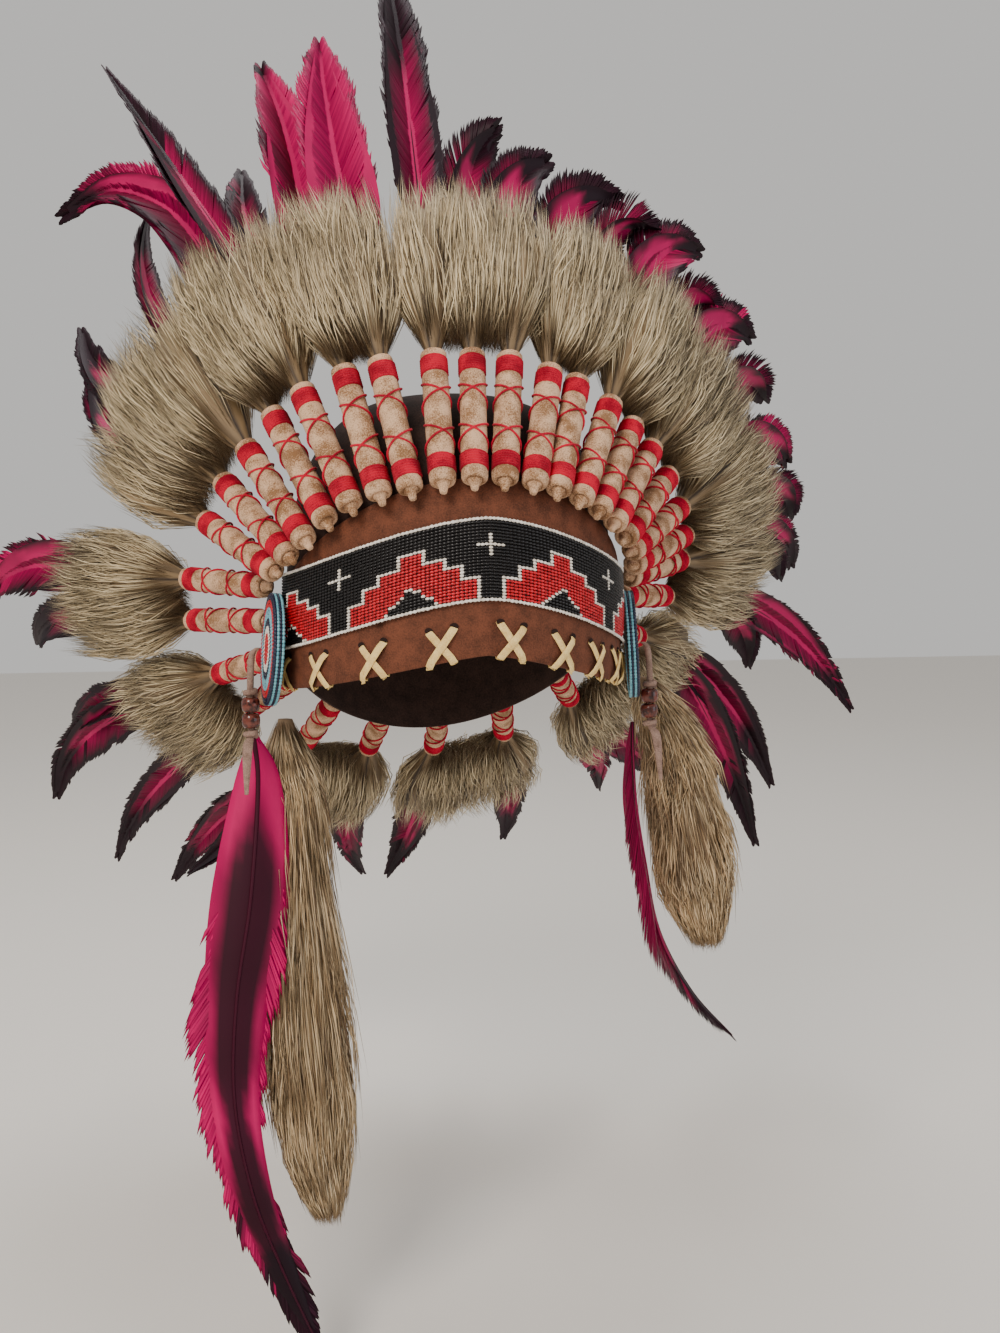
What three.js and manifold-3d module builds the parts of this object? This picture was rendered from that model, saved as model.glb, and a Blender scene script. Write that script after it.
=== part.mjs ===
// Feathered headdress: a leather skullcap and brow band with a beaded strip, a halo of thirty felt-wrapped
// quills that end in fur tufts and cock feathers, and two side drops of beads, a long feather and a fur tail.
// Millimetres, +Z up, the wearer looks along -Y. The origin is the crown of the head, inside the cap's top.
import * as THREE from "three";
import { mergeVertices } from "three/addons/utils/BufferGeometryUtils.js";
import Module from "manifold-3d";

const wasm = await Module();
wasm.setup();

// ---- Driving dimensions ----------------------------------------------------------------------------------
// The head that it is worn on: half width, half depth, height of the widest level, and the slimming below it.
const HEAD = { halfWidth: 83.5, halfDepth: 101.5, crown: 130, napeDepth: 60, napeTaper: 0.1 };
const RIM = { middle: 108, slope: 62 };
const CAP = { wall: 1.8, overlap: 14, segments: 18, levels: 5, bunching: 2.2 };
const BAND = {
  inside: 2.9,
  outside: 5.1,
  reach: 98,
  endRoom: 4,
  segments: 22,
  rows: 3,
  aboveRim: 2,
  bottom: 125,
  bottomDrop: 22,
  dropPower: 1.3,
};
const STRIP = {
  inside: 5.8,
  outside: 7.2,
  reach: 79,
  segments: 16,
  rows: 2,
  middle: 81,
  middleDrop: 28,
  dropPower: 1.6,
  halfHeight: 19,
};
const LACE = {
  width: 3.4,
  thick: 0.9,
  rise: 15,
  spread: 13,
  gap: 0.55,
  under: 0.9,
  hem: 5,
  layer: 1,
  runThick: 0.72,
  runReach: 6,
  segments: 12,
};
const ROSETTE = { radius: 28, rim: 5, face: 3.4, bevel: 1.6, shoulder: 4, dome: 0.8, segments: 16 };
const ROSETTE_PLACE = { ring: 80, z: -127, tilt: 4 };
const ROSETTE_SIDES = { left: { side: -1, off: 11.5, turn: 4 }, right: { side: 1, off: 12.5, turn: 15 } };
const STICK = { radius: 6.3, length: 70, clear: 1.8, chamfer: 0.5, sides: 6 };
const NUB = { radius: 2, length: 5, base: 1 };
const TUFT = { gap: 0.4, sides: 5, lockSides: 3, flatness: 0.75, lean: 17, rise: 3, seam: 0.2 };
const LOCKS = { start: 0.45, length: 0.62, backing: 0.4 };
const VANE = { thick: 1.3, steps: 5, clear: 0.7 };
const BEAD = { radius: 4.6, bore: 2.1, height: 7.4, cheek: 0.72, belly: 0.35, segments: 8 };
const BEAD_HEIGHTS = { upper: -154.5, lower: -162.5 };
const DROP = { x: 104.5, y: -21, thongSides: 6, featherSides: 4, tailSides: 9 };

// Places of the lace crossings round the band, in degrees from the brow, positive to the wearer's left side.
const CROSSINGS = [-77, -56, -35, -14, 7, 25, 41, 56, 70];

// One row for each quill, from the nape round by the wearer's right side (-X), the brow and the left side.
// ring: place on the rim. fan: turn from upright, seen from the front. sweep: lean to the back. In degrees.
// lift: how far its root stands over the rim's line.
const STICK_COLUMNS = ["ring", "fan", "sweep", "lift"];
const STICKS = [
  [-167, -172, 58, 0],
  [-144, -157, 58, -6],
  [-123, -137, 60, -5],
  [-107, -116, 60, -8],
  [-98, -93, 56, 2],
  [-89, -86, 55, 11],
  [-74, -52, 53, 3],
  [-64, -38, 46, 0],
  [-56, -29, 40, 0],
  [-48, -23, 34, 2],
  [-40, -19, 31, 3],
  [-31, -12, 28, 2],
  [-22, -9, 27, 0],
  [-13, 1, 28, 0],
  [-4, 5, 29, 0],
  [5, 9, 29, 0],
  [14, 16, 32, 0],
  [22, 19, 33, 0],
  [30, 28, 36, 0],
  [38, 34, 39, 0],
  [46, 40, 41, 0],
  [54, 49, 43, 0],
  [62, 61, 45, 1],
  [71, 71, 46, 3],
  [81, 80, 47, 7],
  [92, 93, 50, 8],
  [101, 106, 57, 0],
  [126, 132, 60, -4],
  [148, 155, 60, -4],
  [171, 174, 58, 0],
].map(rowOf(STICK_COLUMNS));

// One row for each plume: the first and last quill that it grows out of, the length of its fur, and how far
// the fur stands out from the quill's line.
const PLUME_COLUMNS = ["first", "last", "fur", "girth"];
const PLUMES = [
  [1, 2, 110, 28],
  [3, 4, 118, 28],
  [5, 6, 128, 27],
  [7, 9, 112, 26],
  [10, 11, 98, 25],
  [12, 13, 92, 23],
  [14, 16, 92, 22],
  [17, 18, 92, 21],
  [19, 20, 100, 21.6],
  [21, 22, 112, 23],
  [23, 24, 124, 24],
  [25, 26, 134, 25],
  [27, 28, 128, 27],
  [29, 30, 110, 28],
].map(rowOf(PLUME_COLUMNS));

// One row for each cock feather. stick: the quill it grows out of. start: distance beyond the quill's end.
// lean, rise: the way it sets out, sideways (clockwise from the front) and backwards. curl, droop: how far it
// has turned the same ways at its tip. late: how far towards the tip the turn gathers. twist: of the blade.
const FEATHER_COLUMNS = [
  ...["stick", "start", "lean", "rise", "length"],
  ...["width", "curl", "droop", "late", "twist"],
];
const FEATHERS = [
  [1, 55, -8, 0, 150, 26, -40, -30, 2, 20],
  [2, 55, 18, 0, 205, 28, -20, -30, 2, 0],
  [2, 50, 4, -6, 160, 24, 30, -30, 2, 30],
  [3, 60, -2, -4, 205, 28, -30, -30, 2, 20],
  [4, 70, -6, -6, 190, 30, -60, -20, 2, 0],
  [4, 75, 10, -4, 150, 28, -70, 10, 2, 30],
  [5, 80, 2, 4, 150, 30, -95, 10, 2, 20],
  [6, 85, 2, 0, 150, 34, -85, -10, 2, 0],
  [7, 70, 14, 0, 120, 20, 50, -20, 2, 20],
  [8, 65, -18, 5, 120, 22, 60, -10, 2, 0],
  [9, 60, -8, 0, 150, 24, 60, 0, 1, 40],
  [10, 50, 8, 0, 175, 36, -150, 0, 2, 10],
  [11, 60, -12, -4, 160, 28, -2, -10, 2, 30],
  [11, 50, 8, 4, 110, 22, 20, 20, 2, 0],
  [12, 50, 4, 0, 135, 34, -20, -10, 3, 10],
  [13, 50, 2, 0, 140, 36, 8, -10, 3, 0],
  [14, 50, -2, 0, 215, 30, -6, 10, 3, 10],
  [15, 50, -4, 0, 98, 32, 60, -10, 2, 20],
  [16, 50, -6, 5, 92, 32, 85, -10, 2, 0],
  [17, 50, -8, 0, 90, 34, 115, -20, 2, 0],
  [18, 50, 0, 4, 100, 32, 105, -10, 2, 30],
  [19, 55, -4, 0, 110, 34, 95, 0, 2, 0],
  [20, 55, -2, 4, 110, 34, 105, 0, 2, 20],
  [21, 60, -4, 0, 120, 34, 105, 0, 2, 0],
  [22, 60, -2, 0, 120, 34, 105, 10, 2, 20],
  [23, 70, 0, 0, 115, 32, 95, 0, 2, 0],
  [24, 75, 0, 0, 125, 32, 95, 10, 2, 20],
  [25, 80, 0, 0, 130, 30, 90, 0, 2, 0],
  [25, 80, 12, 4, 115, 26, 70, -10, 2, 30],
  [26, 85, 8, -5, 225, 28, 45, -30, 1, 0],
  [26, 80, 22, 0, 130, 26, 60, -10, 2, 20],
  [27, 80, 12, -14, 215, 30, 35, -20, 1, 0],
  [27, 75, 27, -14, 262, 30, 24, -20, 1, 20],
  [28, 60, -14, -8, 170, 28, 20, -20, 2, 0],
  [28, 60, 6, 0, 150, 26, 30, -20, 2, 30],
  [29, 55, 0, 0, 150, 26, 30, -20, 2, 0],
  [30, 55, 6, 0, 150, 26, 30, -30, 2, 20],
].map(rowOf(FEATHER_COLUMNS));

// Outline of a cock feather's blade: width share at each step from root to tip.
const VANE_OUTLINE = [0.2, 0.95, 1, 0.8, 0.45, 0.1];

// The long feathers and fur tails of the side drops: middle line, width and depth, from the top down.
const DROP_COLUMNS = ["x", "y", "z", "width", "depth"];
const DROP_FEATHER_LEFT = [
  [-103, -4, -171, 4, 1.5],
  [-101, -8, -198, 26, 1.5],
  [-106, -20, -254, 42, 1.5],
  [-114, -29, -303, 34, 1.5],
  [-116, -38, -351, 26, 1.5],
  [-108, -47, -396, 20, 1.5],
  [-94, -54, -434, 14, 1.5],
  [-78, -60, -470, 3, 1.5],
].map(rowOf(DROP_COLUMNS));
const DROP_FEATHER_RIGHT = [
  [101, -2, -171, 3, 3],
  [100, -7, -190, 7, 16],
  [100, -13, -214, 9, 26],
  [104, -17, -244, 8, 26],
  [111, -22, -282, 7, 20],
  [128, -27, -315, 6, 12],
  [150, -31, -340, 3, 3],
].map(rowOf(DROP_COLUMNS));
const FUR_TAIL_LEFT = [
  [-86, 10, -166, 10, 8],
  [-84, 8, -190, 26, 18],
  [-83, 4, -215, 34, 22],
  [-82, -4, -258, 36, 24],
  [-79, -12, -308, 44, 26],
  [-77, -22, -358, 42, 24],
  [-74, -33, -395, 28, 18],
  [-70, -40, -418, 8, 6],
].map(rowOf(DROP_COLUMNS));
const FUR_TAIL_RIGHT = [
  [112, 12, -148, 10, 8],
  [121, 11, -165, 28, 20],
  [131, 9, -190, 38, 26],
  [134, 6, -215, 42, 28],
  [138, 3, -243, 44, 28],
  [140, -1, -270, 38, 24],
  [144, -5, -298, 12, 10],
].map(rowOf(DROP_COLUMNS));

// Colours and surfaces.
const FINISH = {
  capLeather: { color: 0x32231f, roughness: 0.85 },
  bandLeather: { color: 0x87503a, roughness: 0.7 },
  beadwork: { color: 0x1c1a1c, roughness: 0.35 },
  lace: { color: 0xf3dfa0, roughness: 0.6 },
  rosette: { color: 0x78bac8, roughness: 0.35 },
  felt: { color: 0xdcb698, roughness: 0.95 },
  plume: { color: 0xa5917a, roughness: 0.95 },
  suede: { color: 0x96786e, roughness: 0.9 },
  drop: { color: 0x4a2a26, roughness: 0.25 },
  vane: { color: 0xc8184f, roughness: 0.6 },
};

// ---- Helpers ---------------------------------------------------------------------------------------------
const radians = THREE.MathUtils.degToRad;

// Turns an array into a row with named columns.
function rowOf(columns) {
  return (values) => Object.fromEntries(columns.map((name, i) => [name, values[i]]));
}

// A manifold solid of a closed geometry.
function solidOf(geometry) {
  const bare = geometry.clone();
  bare.deleteAttribute("normal");
  bare.deleteAttribute("uv");
  const merged = mergeVertices(bare, 1e-3);
  return new wasm.Manifold(
    new wasm.Mesh({
      numProp: 3,
      vertProperties: merged.attributes.position.array,
      triVerts: new Uint32Array(merged.index.array),
    }),
  );
}

// The three.js geometry of a manifold solid.
function geometryOf(solid) {
  const mesh = solid.getMesh();
  const positions = new Float32Array(mesh.numVert * 3);
  for (let i = 0; i < mesh.numVert; i++) {
    positions.set(mesh.vertProperties.subarray(i * mesh.numProp, i * mesh.numProp + 3), i * 3);
  }
  const geometry = new THREE.BufferGeometry();
  geometry.setAttribute("position", new THREE.BufferAttribute(positions, 3));
  geometry.setIndex(new THREE.BufferAttribute(mesh.triVerts, 1));
  return geometry;
}

// One geometry from several closed ones that run into each other.
function fuse(geometries) {
  return geometryOf(geometries.map(solidOf).reduce((whole, next) => whole.add(next)));
}

// A closed geometry lofted through rings of points that turn anticlockwise about the way of the loft.
// The crossed side's quads are split the other way, so that both faces of a thin twisted blade fold alike.
function loft(rings, crossed = -1) {
  const sides = rings[0].length;
  const points = rings.flat();
  const faces = [];
  for (let k = 0; k + 1 < rings.length; k++) {
    for (let i = 0; i < sides; i++) {
      const a = k * sides + i;
      const b = k * sides + ((i + 1) % sides);
      if (i === crossed) {
        faces.push(a, b, a + sides, b, b + sides, a + sides);
      } else {
        faces.push(a, b, b + sides, a, b + sides, a + sides);
      }
    }
  }
  const last = (rings.length - 1) * sides;
  for (let i = 1; i + 1 < sides; i++) {
    faces.push(0, i + 1, i, last, last + i, last + i + 1);
  }
  const geometry = new THREE.BufferGeometry().setFromPoints(points);
  geometry.setIndex(faces);
  return geometry;
}

// A ring of points about a centre: an ellipse on the unit vectors u and v.
function ellipseRing(centre, u, v, radiusU, radiusV, sides) {
  return Array.from({ length: sides }, (_, i) => {
    const angle = (i / sides) * 2 * Math.PI;
    return centre
      .clone()
      .addScaledVector(u, radiusU * Math.cos(angle))
      .addScaledVector(v, radiusV * Math.sin(angle));
  });
}

// The far broad side of a flat ring, whose quads a thin blade's loft splits the other way.
const FAR_SIDE = 2;

// A ring of four points: a flat rectangle on the unit vectors u and v.
function flatRing(centre, u, v, width, thick) {
  const corners = [
    [-1, -1],
    [1, -1],
    [1, 1],
    [-1, 1],
  ];
  return corners.map(([a, b]) =>
    centre
      .clone()
      .addScaledVector(u, (a * width) / 2)
      .addScaledVector(v, (b * thick) / 2),
  );
}

// ---- The head and the rim --------------------------------------------------------------------------------

// How wide the head is at height z, as a share of its full half widths, for a surface that stands off it.
function headShare(z, off) {
  const height = z + HEAD.crown;
  if (height < 0) {
    return 1 - HEAD.napeTaper * (height / HEAD.napeDepth) ** 2;
  }
  return Math.cbrt(Math.max(0, 1 - (height / (HEAD.crown + off)) ** 3));
}

// A point on the head at an angle from the brow, a height, and a distance off the skin.
function headPoint(angle, z, off) {
  const share = headShare(z, off);
  const x = (HEAD.halfWidth + off) * share * Math.sin(angle);
  const y = -(HEAD.halfDepth + off) * share * Math.cos(angle);
  return new THREE.Vector3(x, y, z);
}

// Height of the rim that carries the quills: high over the brow, low at the nape.
function rimHeight(angle) {
  return -RIM.middle + RIM.slope * Math.cos(angle);
}

function bandBottom(angle) {
  return -BAND.bottom - BAND.bottomDrop * Math.abs(Math.sin(angle)) ** BAND.dropPower;
}

function stripMiddle(angle) {
  return -STRIP.middle - STRIP.middleDrop * Math.abs(Math.sin(angle)) ** STRIP.dropPower;
}

// A curved wall on the head: rectangles of inside and outside points at even angles between two heights.
function headWall(reach, segments, top, bottom, inside, outside, rows) {
  const rings = [];
  for (let k = 0; k <= segments; k++) {
    const angle = radians(reach * ((2 * k) / segments - 1));
    const ring = [];
    for (let r = 0; r <= rows; r++) {
      ring.push(headPoint(angle, THREE.MathUtils.lerp(bottom(angle), top(angle), r / rows), outside));
    }
    for (let r = rows; r >= 0; r--) {
      ring.push(headPoint(angle, THREE.MathUtils.lerp(bottom(angle), top(angle), r / rows), inside));
    }
    rings.push(ring);
  }
  return wallLoft(rings, rows);
}

// Lofts the wall's rings, with end caps made of its own quads because the rings aren't convex.
function wallLoft(rings, rows) {
  const sides = rings[0].length;
  const faces = [];
  for (let k = 0; k + 1 < rings.length; k++) {
    for (let i = 0; i < sides; i++) {
      const a = k * sides + i;
      const b = k * sides + ((i + 1) % sides);
      faces.push(a, a + sides, b + sides, a, b + sides, b);
    }
  }
  const last = (rings.length - 1) * sides;
  for (let r = 0; r < rows; r++) {
    const out = r;
    const inner = sides - 1 - r;
    faces.push(out, out + 1, inner - 1, out, inner - 1, inner);
    faces.push(last + out, last + inner - 1, last + out + 1, last + out, last + inner, last + inner - 1);
  }
  const geometry = new THREE.BufferGeometry().setFromPoints(rings.flat());
  geometry.setIndex(faces);
  return geometry;
}

// ---- Sub-parts -------------------------------------------------------------------------------------------

// The skullcap: an open shell from the crown down to its rim.
function capGeometry() {
  const points = [];
  const faces = [];
  const { segments, levels } = CAP;
  const shells = [CAP.wall, 0];
  for (const off of shells) {
    points.push(new THREE.Vector3(0, 0, off));
    for (let k = 1; k <= levels; k++) {
      for (let i = 0; i < segments; i++) {
        const angle = (i / segments) * 2 * Math.PI;
        const rim = rimHeight(angle) - CAP.overlap;
        const z = off + (rim - off) * (k / levels) ** CAP.bunching;
        points.push(headPoint(angle, z, off));
      }
    }
  }
  const shellSize = 1 + levels * segments;
  const at = (shell, level, i) => shell * shellSize + 1 + (level - 1) * segments + (i % segments);
  for (let i = 0; i < segments; i++) {
    faces.push(0, at(0, 1, i), at(0, 1, i + 1));
    faces.push(shellSize, at(1, 1, i + 1), at(1, 1, i));
    for (let k = 1; k < levels; k++) {
      faces.push(at(0, k, i), at(0, k + 1, i), at(0, k + 1, i + 1));
      faces.push(at(0, k, i), at(0, k + 1, i + 1), at(0, k, i + 1));
      faces.push(at(1, k, i), at(1, k + 1, i + 1), at(1, k + 1, i));
      faces.push(at(1, k, i), at(1, k, i + 1), at(1, k + 1, i + 1));
    }
    faces.push(at(0, levels, i), at(1, levels, i), at(1, levels, i + 1));
    faces.push(at(0, levels, i), at(1, levels, i + 1), at(0, levels, i + 1));
  }
  const geometry = new THREE.BufferGeometry().setFromPoints(points);
  geometry.setIndex(faces);
  return geometry;
}

function browBandGeometry() {
  const top = (angle) => rimHeight(angle) + BAND.aboveRim;
  return headWall(BAND.reach, BAND.segments, top, bandBottom, BAND.inside, BAND.outside, BAND.rows);
}

function beadStripGeometry() {
  const top = (angle) => stripMiddle(angle) + STRIP.halfHeight;
  const bottom = (angle) => stripMiddle(angle) - STRIP.halfHeight;
  return headWall(STRIP.reach, STRIP.segments, top, bottom, STRIP.inside, STRIP.outside, STRIP.rows);
}

// One leg of a crossing: from its punched hole down the outside of the band, under the edge and up inside.
function laceLeg(crossing, side) {
  const half = LACE.spread / 2 / HEAD.halfDepth;
  const holeAngle = radians(crossing) - side * half;
  const edgeAngle = radians(crossing) + side * half;
  const middle = LACE.gap + LACE.thick / 2;
  const layer = side > 0 ? 0 : LACE.layer;
  const edge = bandBottom(edgeAngle);
  const under = edge - LACE.under - LACE.thick / 2;
  const outside = BAND.outside + middle + layer;
  const inside = BAND.inside - middle;
  const down = new THREE.Vector3(0, 0, -1);
  const stations = [
    { at: headPoint(holeAngle, bandBottom(holeAngle) + LACE.rise, outside), out: 1, low: 0 },
    { at: headPoint(edgeAngle, under, outside), out: 1, low: 1 },
    { at: headPoint(edgeAngle, under, inside), out: -1, low: 1 },
    { at: headPoint(edgeAngle, edge + LACE.hem, inside), out: -1, low: 0 },
  ];
  const normal = headNormal(stations[1].at);
  const across = normal.clone().cross(down);
  const rings = stations.map(({ at, out, low }) => {
    const thickWay = normal.clone().multiplyScalar(out).addScaledVector(down, low);
    return flatRing(at, across, thickWay, LACE.width, LACE.thick);
  });
  return loft(rings, FAR_SIDE);
}

function headNormal(point) {
  return new THREE.Vector3(point.x / HEAD.halfWidth ** 2, point.y / HEAD.halfDepth ** 2, 0).normalize();
}

// A flat strap along a route, its broad face turned to the given normal.
function strap(route, width, thick, normalAt) {
  const rings = route.map((point, k) => {
    const before = route[Math.max(k - 1, 0)];
    const after = route[Math.min(k + 1, route.length - 1)];
    const way = after.clone().sub(before).normalize();
    const across = way.clone().cross(normalAt(point)).normalize();
    const thickWay = way.clone().cross(across).normalize();
    return flatRing(point, across, thickWay, width, thick);
  });
  return loft(rings, FAR_SIDE);
}

// The lace: a run inside the band's hem, with crossed legs outside at each crossing.
function edgeLacingGeometry() {
  const first = radians(CROSSINGS[0] - LACE.runReach);
  const last = radians(CROSSINGS[CROSSINGS.length - 1] + LACE.runReach);
  const run = Array.from({ length: LACE.segments + 1 }, (_, k) => {
    const angle = THREE.MathUtils.lerp(first, last, k / LACE.segments);
    const off = BAND.inside - LACE.gap - LACE.thick / 2;
    return headPoint(angle, bandBottom(angle) + LACE.hem - LACE.width / 2, off);
  });
  const pieces = [strap(run, LACE.width, LACE.runThick, headNormal)];
  for (const crossing of CROSSINGS) {
    pieces.push(laceLeg(crossing, 1), laceLeg(crossing, -1));
  }
  return fuse(pieces);
}

// A rosette: a disc with a rolled rim and a slightly domed face, turned on its axis.
function rosetteGeometry() {
  const { radius, rim, face, bevel, shoulder, dome } = ROSETTE;
  const profile = [
    [0, -rim / 2],
    [radius - bevel, -rim / 2],
    [radius, -rim / 4],
    [radius, rim / 4],
    [radius - bevel, rim / 2],
    [radius - shoulder, face / 2],
    [0, face / 2 + dome],
  ].map(([r, h]) => new THREE.Vector2(r, h));
  return new THREE.LatheGeometry(profile, ROSETTE.segments);
}

// The unit vectors of a quill: along it, sideways in the halo (clockwise), and out of the halo (backwards).
function quillFrame({ fan, sweep }, lean = 0, rise = 0) {
  const a = radians(fan + lean);
  const b = radians(sweep + rise);
  return {
    along: new THREE.Vector3(Math.sin(a) * Math.cos(b), Math.sin(b), Math.cos(a) * Math.cos(b)),
    side: new THREE.Vector3(Math.cos(a), 0, -Math.sin(a)),
    back: new THREE.Vector3(-Math.sin(a) * Math.sin(b), Math.cos(b), -Math.cos(a) * Math.sin(b)),
  };
}

// Where a quill starts: on the rim, its side or end just off the leather.
function quillRoot(stick) {
  const angle = radians(stick.ring);
  const z = rimHeight(angle) + stick.lift;
  const onBand = Math.abs(stick.ring) < BAND.reach + BAND.endRoom;
  const skin = onBand ? BAND.outside : CAP.wall;
  const point = headPoint(angle, z, skin);
  const normal = headNormal(point);
  const { along } = quillFrame(stick);
  const slant = Math.sqrt(1 - along.dot(normal) ** 2);
  return point.addScaledVector(normal, STICK.radius * slant + STICK.clear);
}

// A point of a quill at a distance from its root.
function quillPoint(stick, distance) {
  return quillRoot(stick).addScaledVector(quillFrame(stick).along, distance);
}

function stickGeometry(stick) {
  const { radius, length, chamfer, sides } = STICK;
  const { along, side, back } = quillFrame(stick);
  const profile = [
    [NUB.radius / 2, -NUB.length],
    [NUB.radius, -NUB.base],
    [radius, chamfer],
    [radius, length],
  ];
  const root = quillRoot(stick);
  const rings = profile.map(([r, h]) =>
    ellipseRing(root.clone().addScaledVector(along, h), side, back, r, r, sides),
  );
  return loft(rings);
}

// A lock or body of fur: a spindle along its own way from a start point.
function spindle(start, frame, length, radii, sides, flatness) {
  const rings = radii.map(([share, radius]) => {
    const centre = start.clone().addScaledVector(frame.along, share * length);
    return ellipseRing(centre, frame.side, frame.back, radius, radius * flatness, sides);
  });
  return loft(rings);
}

// Outline of the fur on one quill and of a lock at its end, as shares of its length and of its girth.
const TUFT_OUTLINE = [
  [0, 0.22],
  [0.25, 0.78],
  [0.7, 1],
  [1.06, 0.15],
];
const LOCK_OUTLINE = [
  [0, 0.45],
  [0.5, 0.5],
  [1, 0.08],
];

// A point on a quill's line beyond its end.
function beyondQuill(stick, distance) {
  return quillPoint(stick, STICK.length + TUFT.gap + distance);
}

// A spindle whose radii follow an outline.
function outlined(start, frame, length, girth, outline, sides) {
  const radii = outline.map(([share, radius]) => [share, radius * girth]);
  return spindle(start, frame, length, radii, sides, TUFT.flatness);
}

// The fur on one quill: a full body and two locks at its end.
function tuftPieces(stick, { fur, girth }) {
  const start = beyondQuill(stick, 0);
  const pieces = [outlined(start, quillFrame(stick), fur, girth, TUFT_OUTLINE, TUFT.sides)];
  for (const turn of [-1, 1]) {
    const frame = quillFrame(stick, turn * TUFT.lean, turn * TUFT.rise);
    const from = beyondQuill(stick, fur * LOCKS.start);
    pieces.push(outlined(from, frame, fur * LOCKS.length, girth, LOCK_OUTLINE, TUFT.lockSides));
  }
  return pieces;
}

// The backing that joins the fur of two neighbouring quills.
function backing(before, after, { fur, girth }) {
  const from = beyondQuill(before, fur * LOCKS.backing);
  const way = beyondQuill(after, fur * LOCKS.backing).sub(from);
  const along = way.clone().normalize();
  const back = quillFrame(before).back.cross(along).normalize().cross(along).negate();
  const frame = { along, side: back.clone().cross(along), back };
  const radii = [0, 1].map((share) => [share, girth / 2]);
  return spindle(from, frame, way.length(), radii, TUFT.lockSides, TUFT.flatness);
}

// A cock feather: a thin blade on a curve that turns more and more to its tip, with room added all round.
function featherGeometry(feather, room) {
  const stick = STICKS[feather.stick - 1];
  const centre = quillPoint(stick, STICK.length + feather.start);
  const rings = [];
  const step = feather.length / VANE.steps;
  for (let k = 0; k <= VANE.steps; k++) {
    const turn = (k / VANE.steps) ** feather.late;
    const frame = quillFrame(stick, feather.lean + feather.curl * turn, feather.rise + feather.droop * turn);
    const twist = radians(feather.twist * (1 + k / VANE.steps));
    const u = frame.side.clone().applyAxisAngle(frame.along, twist);
    const v = frame.along.clone().cross(u);
    rings.push(flatRing(centre, u, v, feather.width * VANE_OUTLINE[k] + room, VANE.thick + room));
    centre.addScaledVector(frame.along, step);
  }
  return loft(rings, FAR_SIDE);
}

// A half space as a very large block: all that lies beyond a plane through a point.
function beyond(point, normal) {
  const size = 2000;
  const block = new THREE.BoxGeometry(size, size, size);
  block.translate(0, 0, size / 2);
  block.applyQuaternion(new THREE.Quaternion().setFromUnitVectors(new THREE.Vector3(0, 0, 1), normal));
  block.translate(point.x, point.y, point.z);
  return solidOf(block);
}

// The plane between two neighbouring quills, as a point and the way towards the second one.
function seamBetween(before, after) {
  const a = quillFrame(before);
  const b = quillFrame(after);
  const along = a.along.clone().add(b.along).normalize();
  const back = a.back.clone().add(b.back);
  const normal = back.cross(along).normalize().negate();
  const point = quillRoot(before).add(quillRoot(after)).multiplyScalar(0.5);
  if (normal.dot(quillRoot(after).sub(point)) < 0) {
    normal.negate();
  }
  return { point, normal };
}

// The fur of a plume, kept on its own side of the seams to its neighbours.
function plumeFur(plume) {
  const own = STICKS.slice(plume.first - 1, plume.last);
  const tufts = own.flatMap((stick) => tuftPieces(stick, plume));
  const joins = own.slice(1).map((stick, i) => backing(own[i], stick, plume));
  const whole = [...tufts, ...joins].map(solidOf).reduce((sum, next) => sum.add(next));
  const before = STICKS[(plume.first - 2 + STICKS.length) % STICKS.length];
  const after = STICKS[plume.last % STICKS.length];
  const low = seamBetween(before, own[0]);
  const high = seamBetween(own[own.length - 1], after);
  const lowWay = low.normal.clone().negate();
  return whole
    .subtract(beyond(low.point.addScaledVector(lowWay, -TUFT.seam), lowWay))
    .subtract(beyond(high.point.addScaledVector(high.normal, -TUFT.seam), high.normal));
}

function plumeFeathers(plume) {
  return FEATHERS.filter(({ stick }) => stick >= plume.first && stick <= plume.last);
}

// The largest of a solid's bodies, without the slivers that a cut leaves.
function mainBody(solid) {
  return solid.decompose().reduce((best, next) => (next.volume() > best.volume() ? next : best));
}

// All plumes: each one's fur gives way to the others' feathers, and its feathers to those before them.
function plumeGeometries() {
  const roomOf = (row) => solidOf(featherGeometry(row, VANE.clear));
  const room = PLUMES.map((plume) => plumeFeathers(plume).map(roomOf));
  return PLUMES.map((plume, k) => {
    let fur = plumeFur(plume);
    room.forEach((others, j) => {
      if (j !== k) {
        fur = others.reduce((left, feather) => left.subtract(feather), fur);
      }
    });
    const earlier = room.slice(0, k).flat();
    const feathers = plumeFeathers(plume)
      .map((row) => solidOf(featherGeometry(row, 0)))
      .map((feather) => earlier.reduce((left, other) => left.subtract(other), feather));
    return geometryOf(mainBody(feathers.reduce((whole, next) => whole.add(next), mainBody(fur))));
  });
}

// A hanging piece lofted through its table: elliptical sections, or flat ones for a feather.
function hangingGeometry(rows, sides) {
  const u = new THREE.Vector3(1, 0, 0);
  const v = new THREE.Vector3(0, -1, 0);
  const rings = rows.map((row) =>
    ellipseRing(new THREE.Vector3(row.x, row.y, row.z), u, v, row.width / 2, row.depth / 2, sides),
  );
  return loft(rings);
}

// The thong from the rosette's back through both beads to its tapered tail.
function thongGeometry(side) {
  const route = [
    [DROP.x - 4, DROP.y + 1, -126, 3, 0.8],
    [DROP.x - 1, DROP.y + 1, -130, 3.4, 3],
    [DROP.x, DROP.y, -146, 3.4, 2.6],
    [DROP.x, DROP.y, -168, 3, 2.4],
    [DROP.x + 2, DROP.y - 6, -176, 5, 1.6],
    [DROP.x + 3, DROP.y - 11, -198, 2, 1.2],
  ];
  const rows = route.map(([x, y, z, width, depth]) => ({ x: side * x, y, z, width, depth }));
  return hangingGeometry(rows, DROP.thongSides);
}

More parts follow.
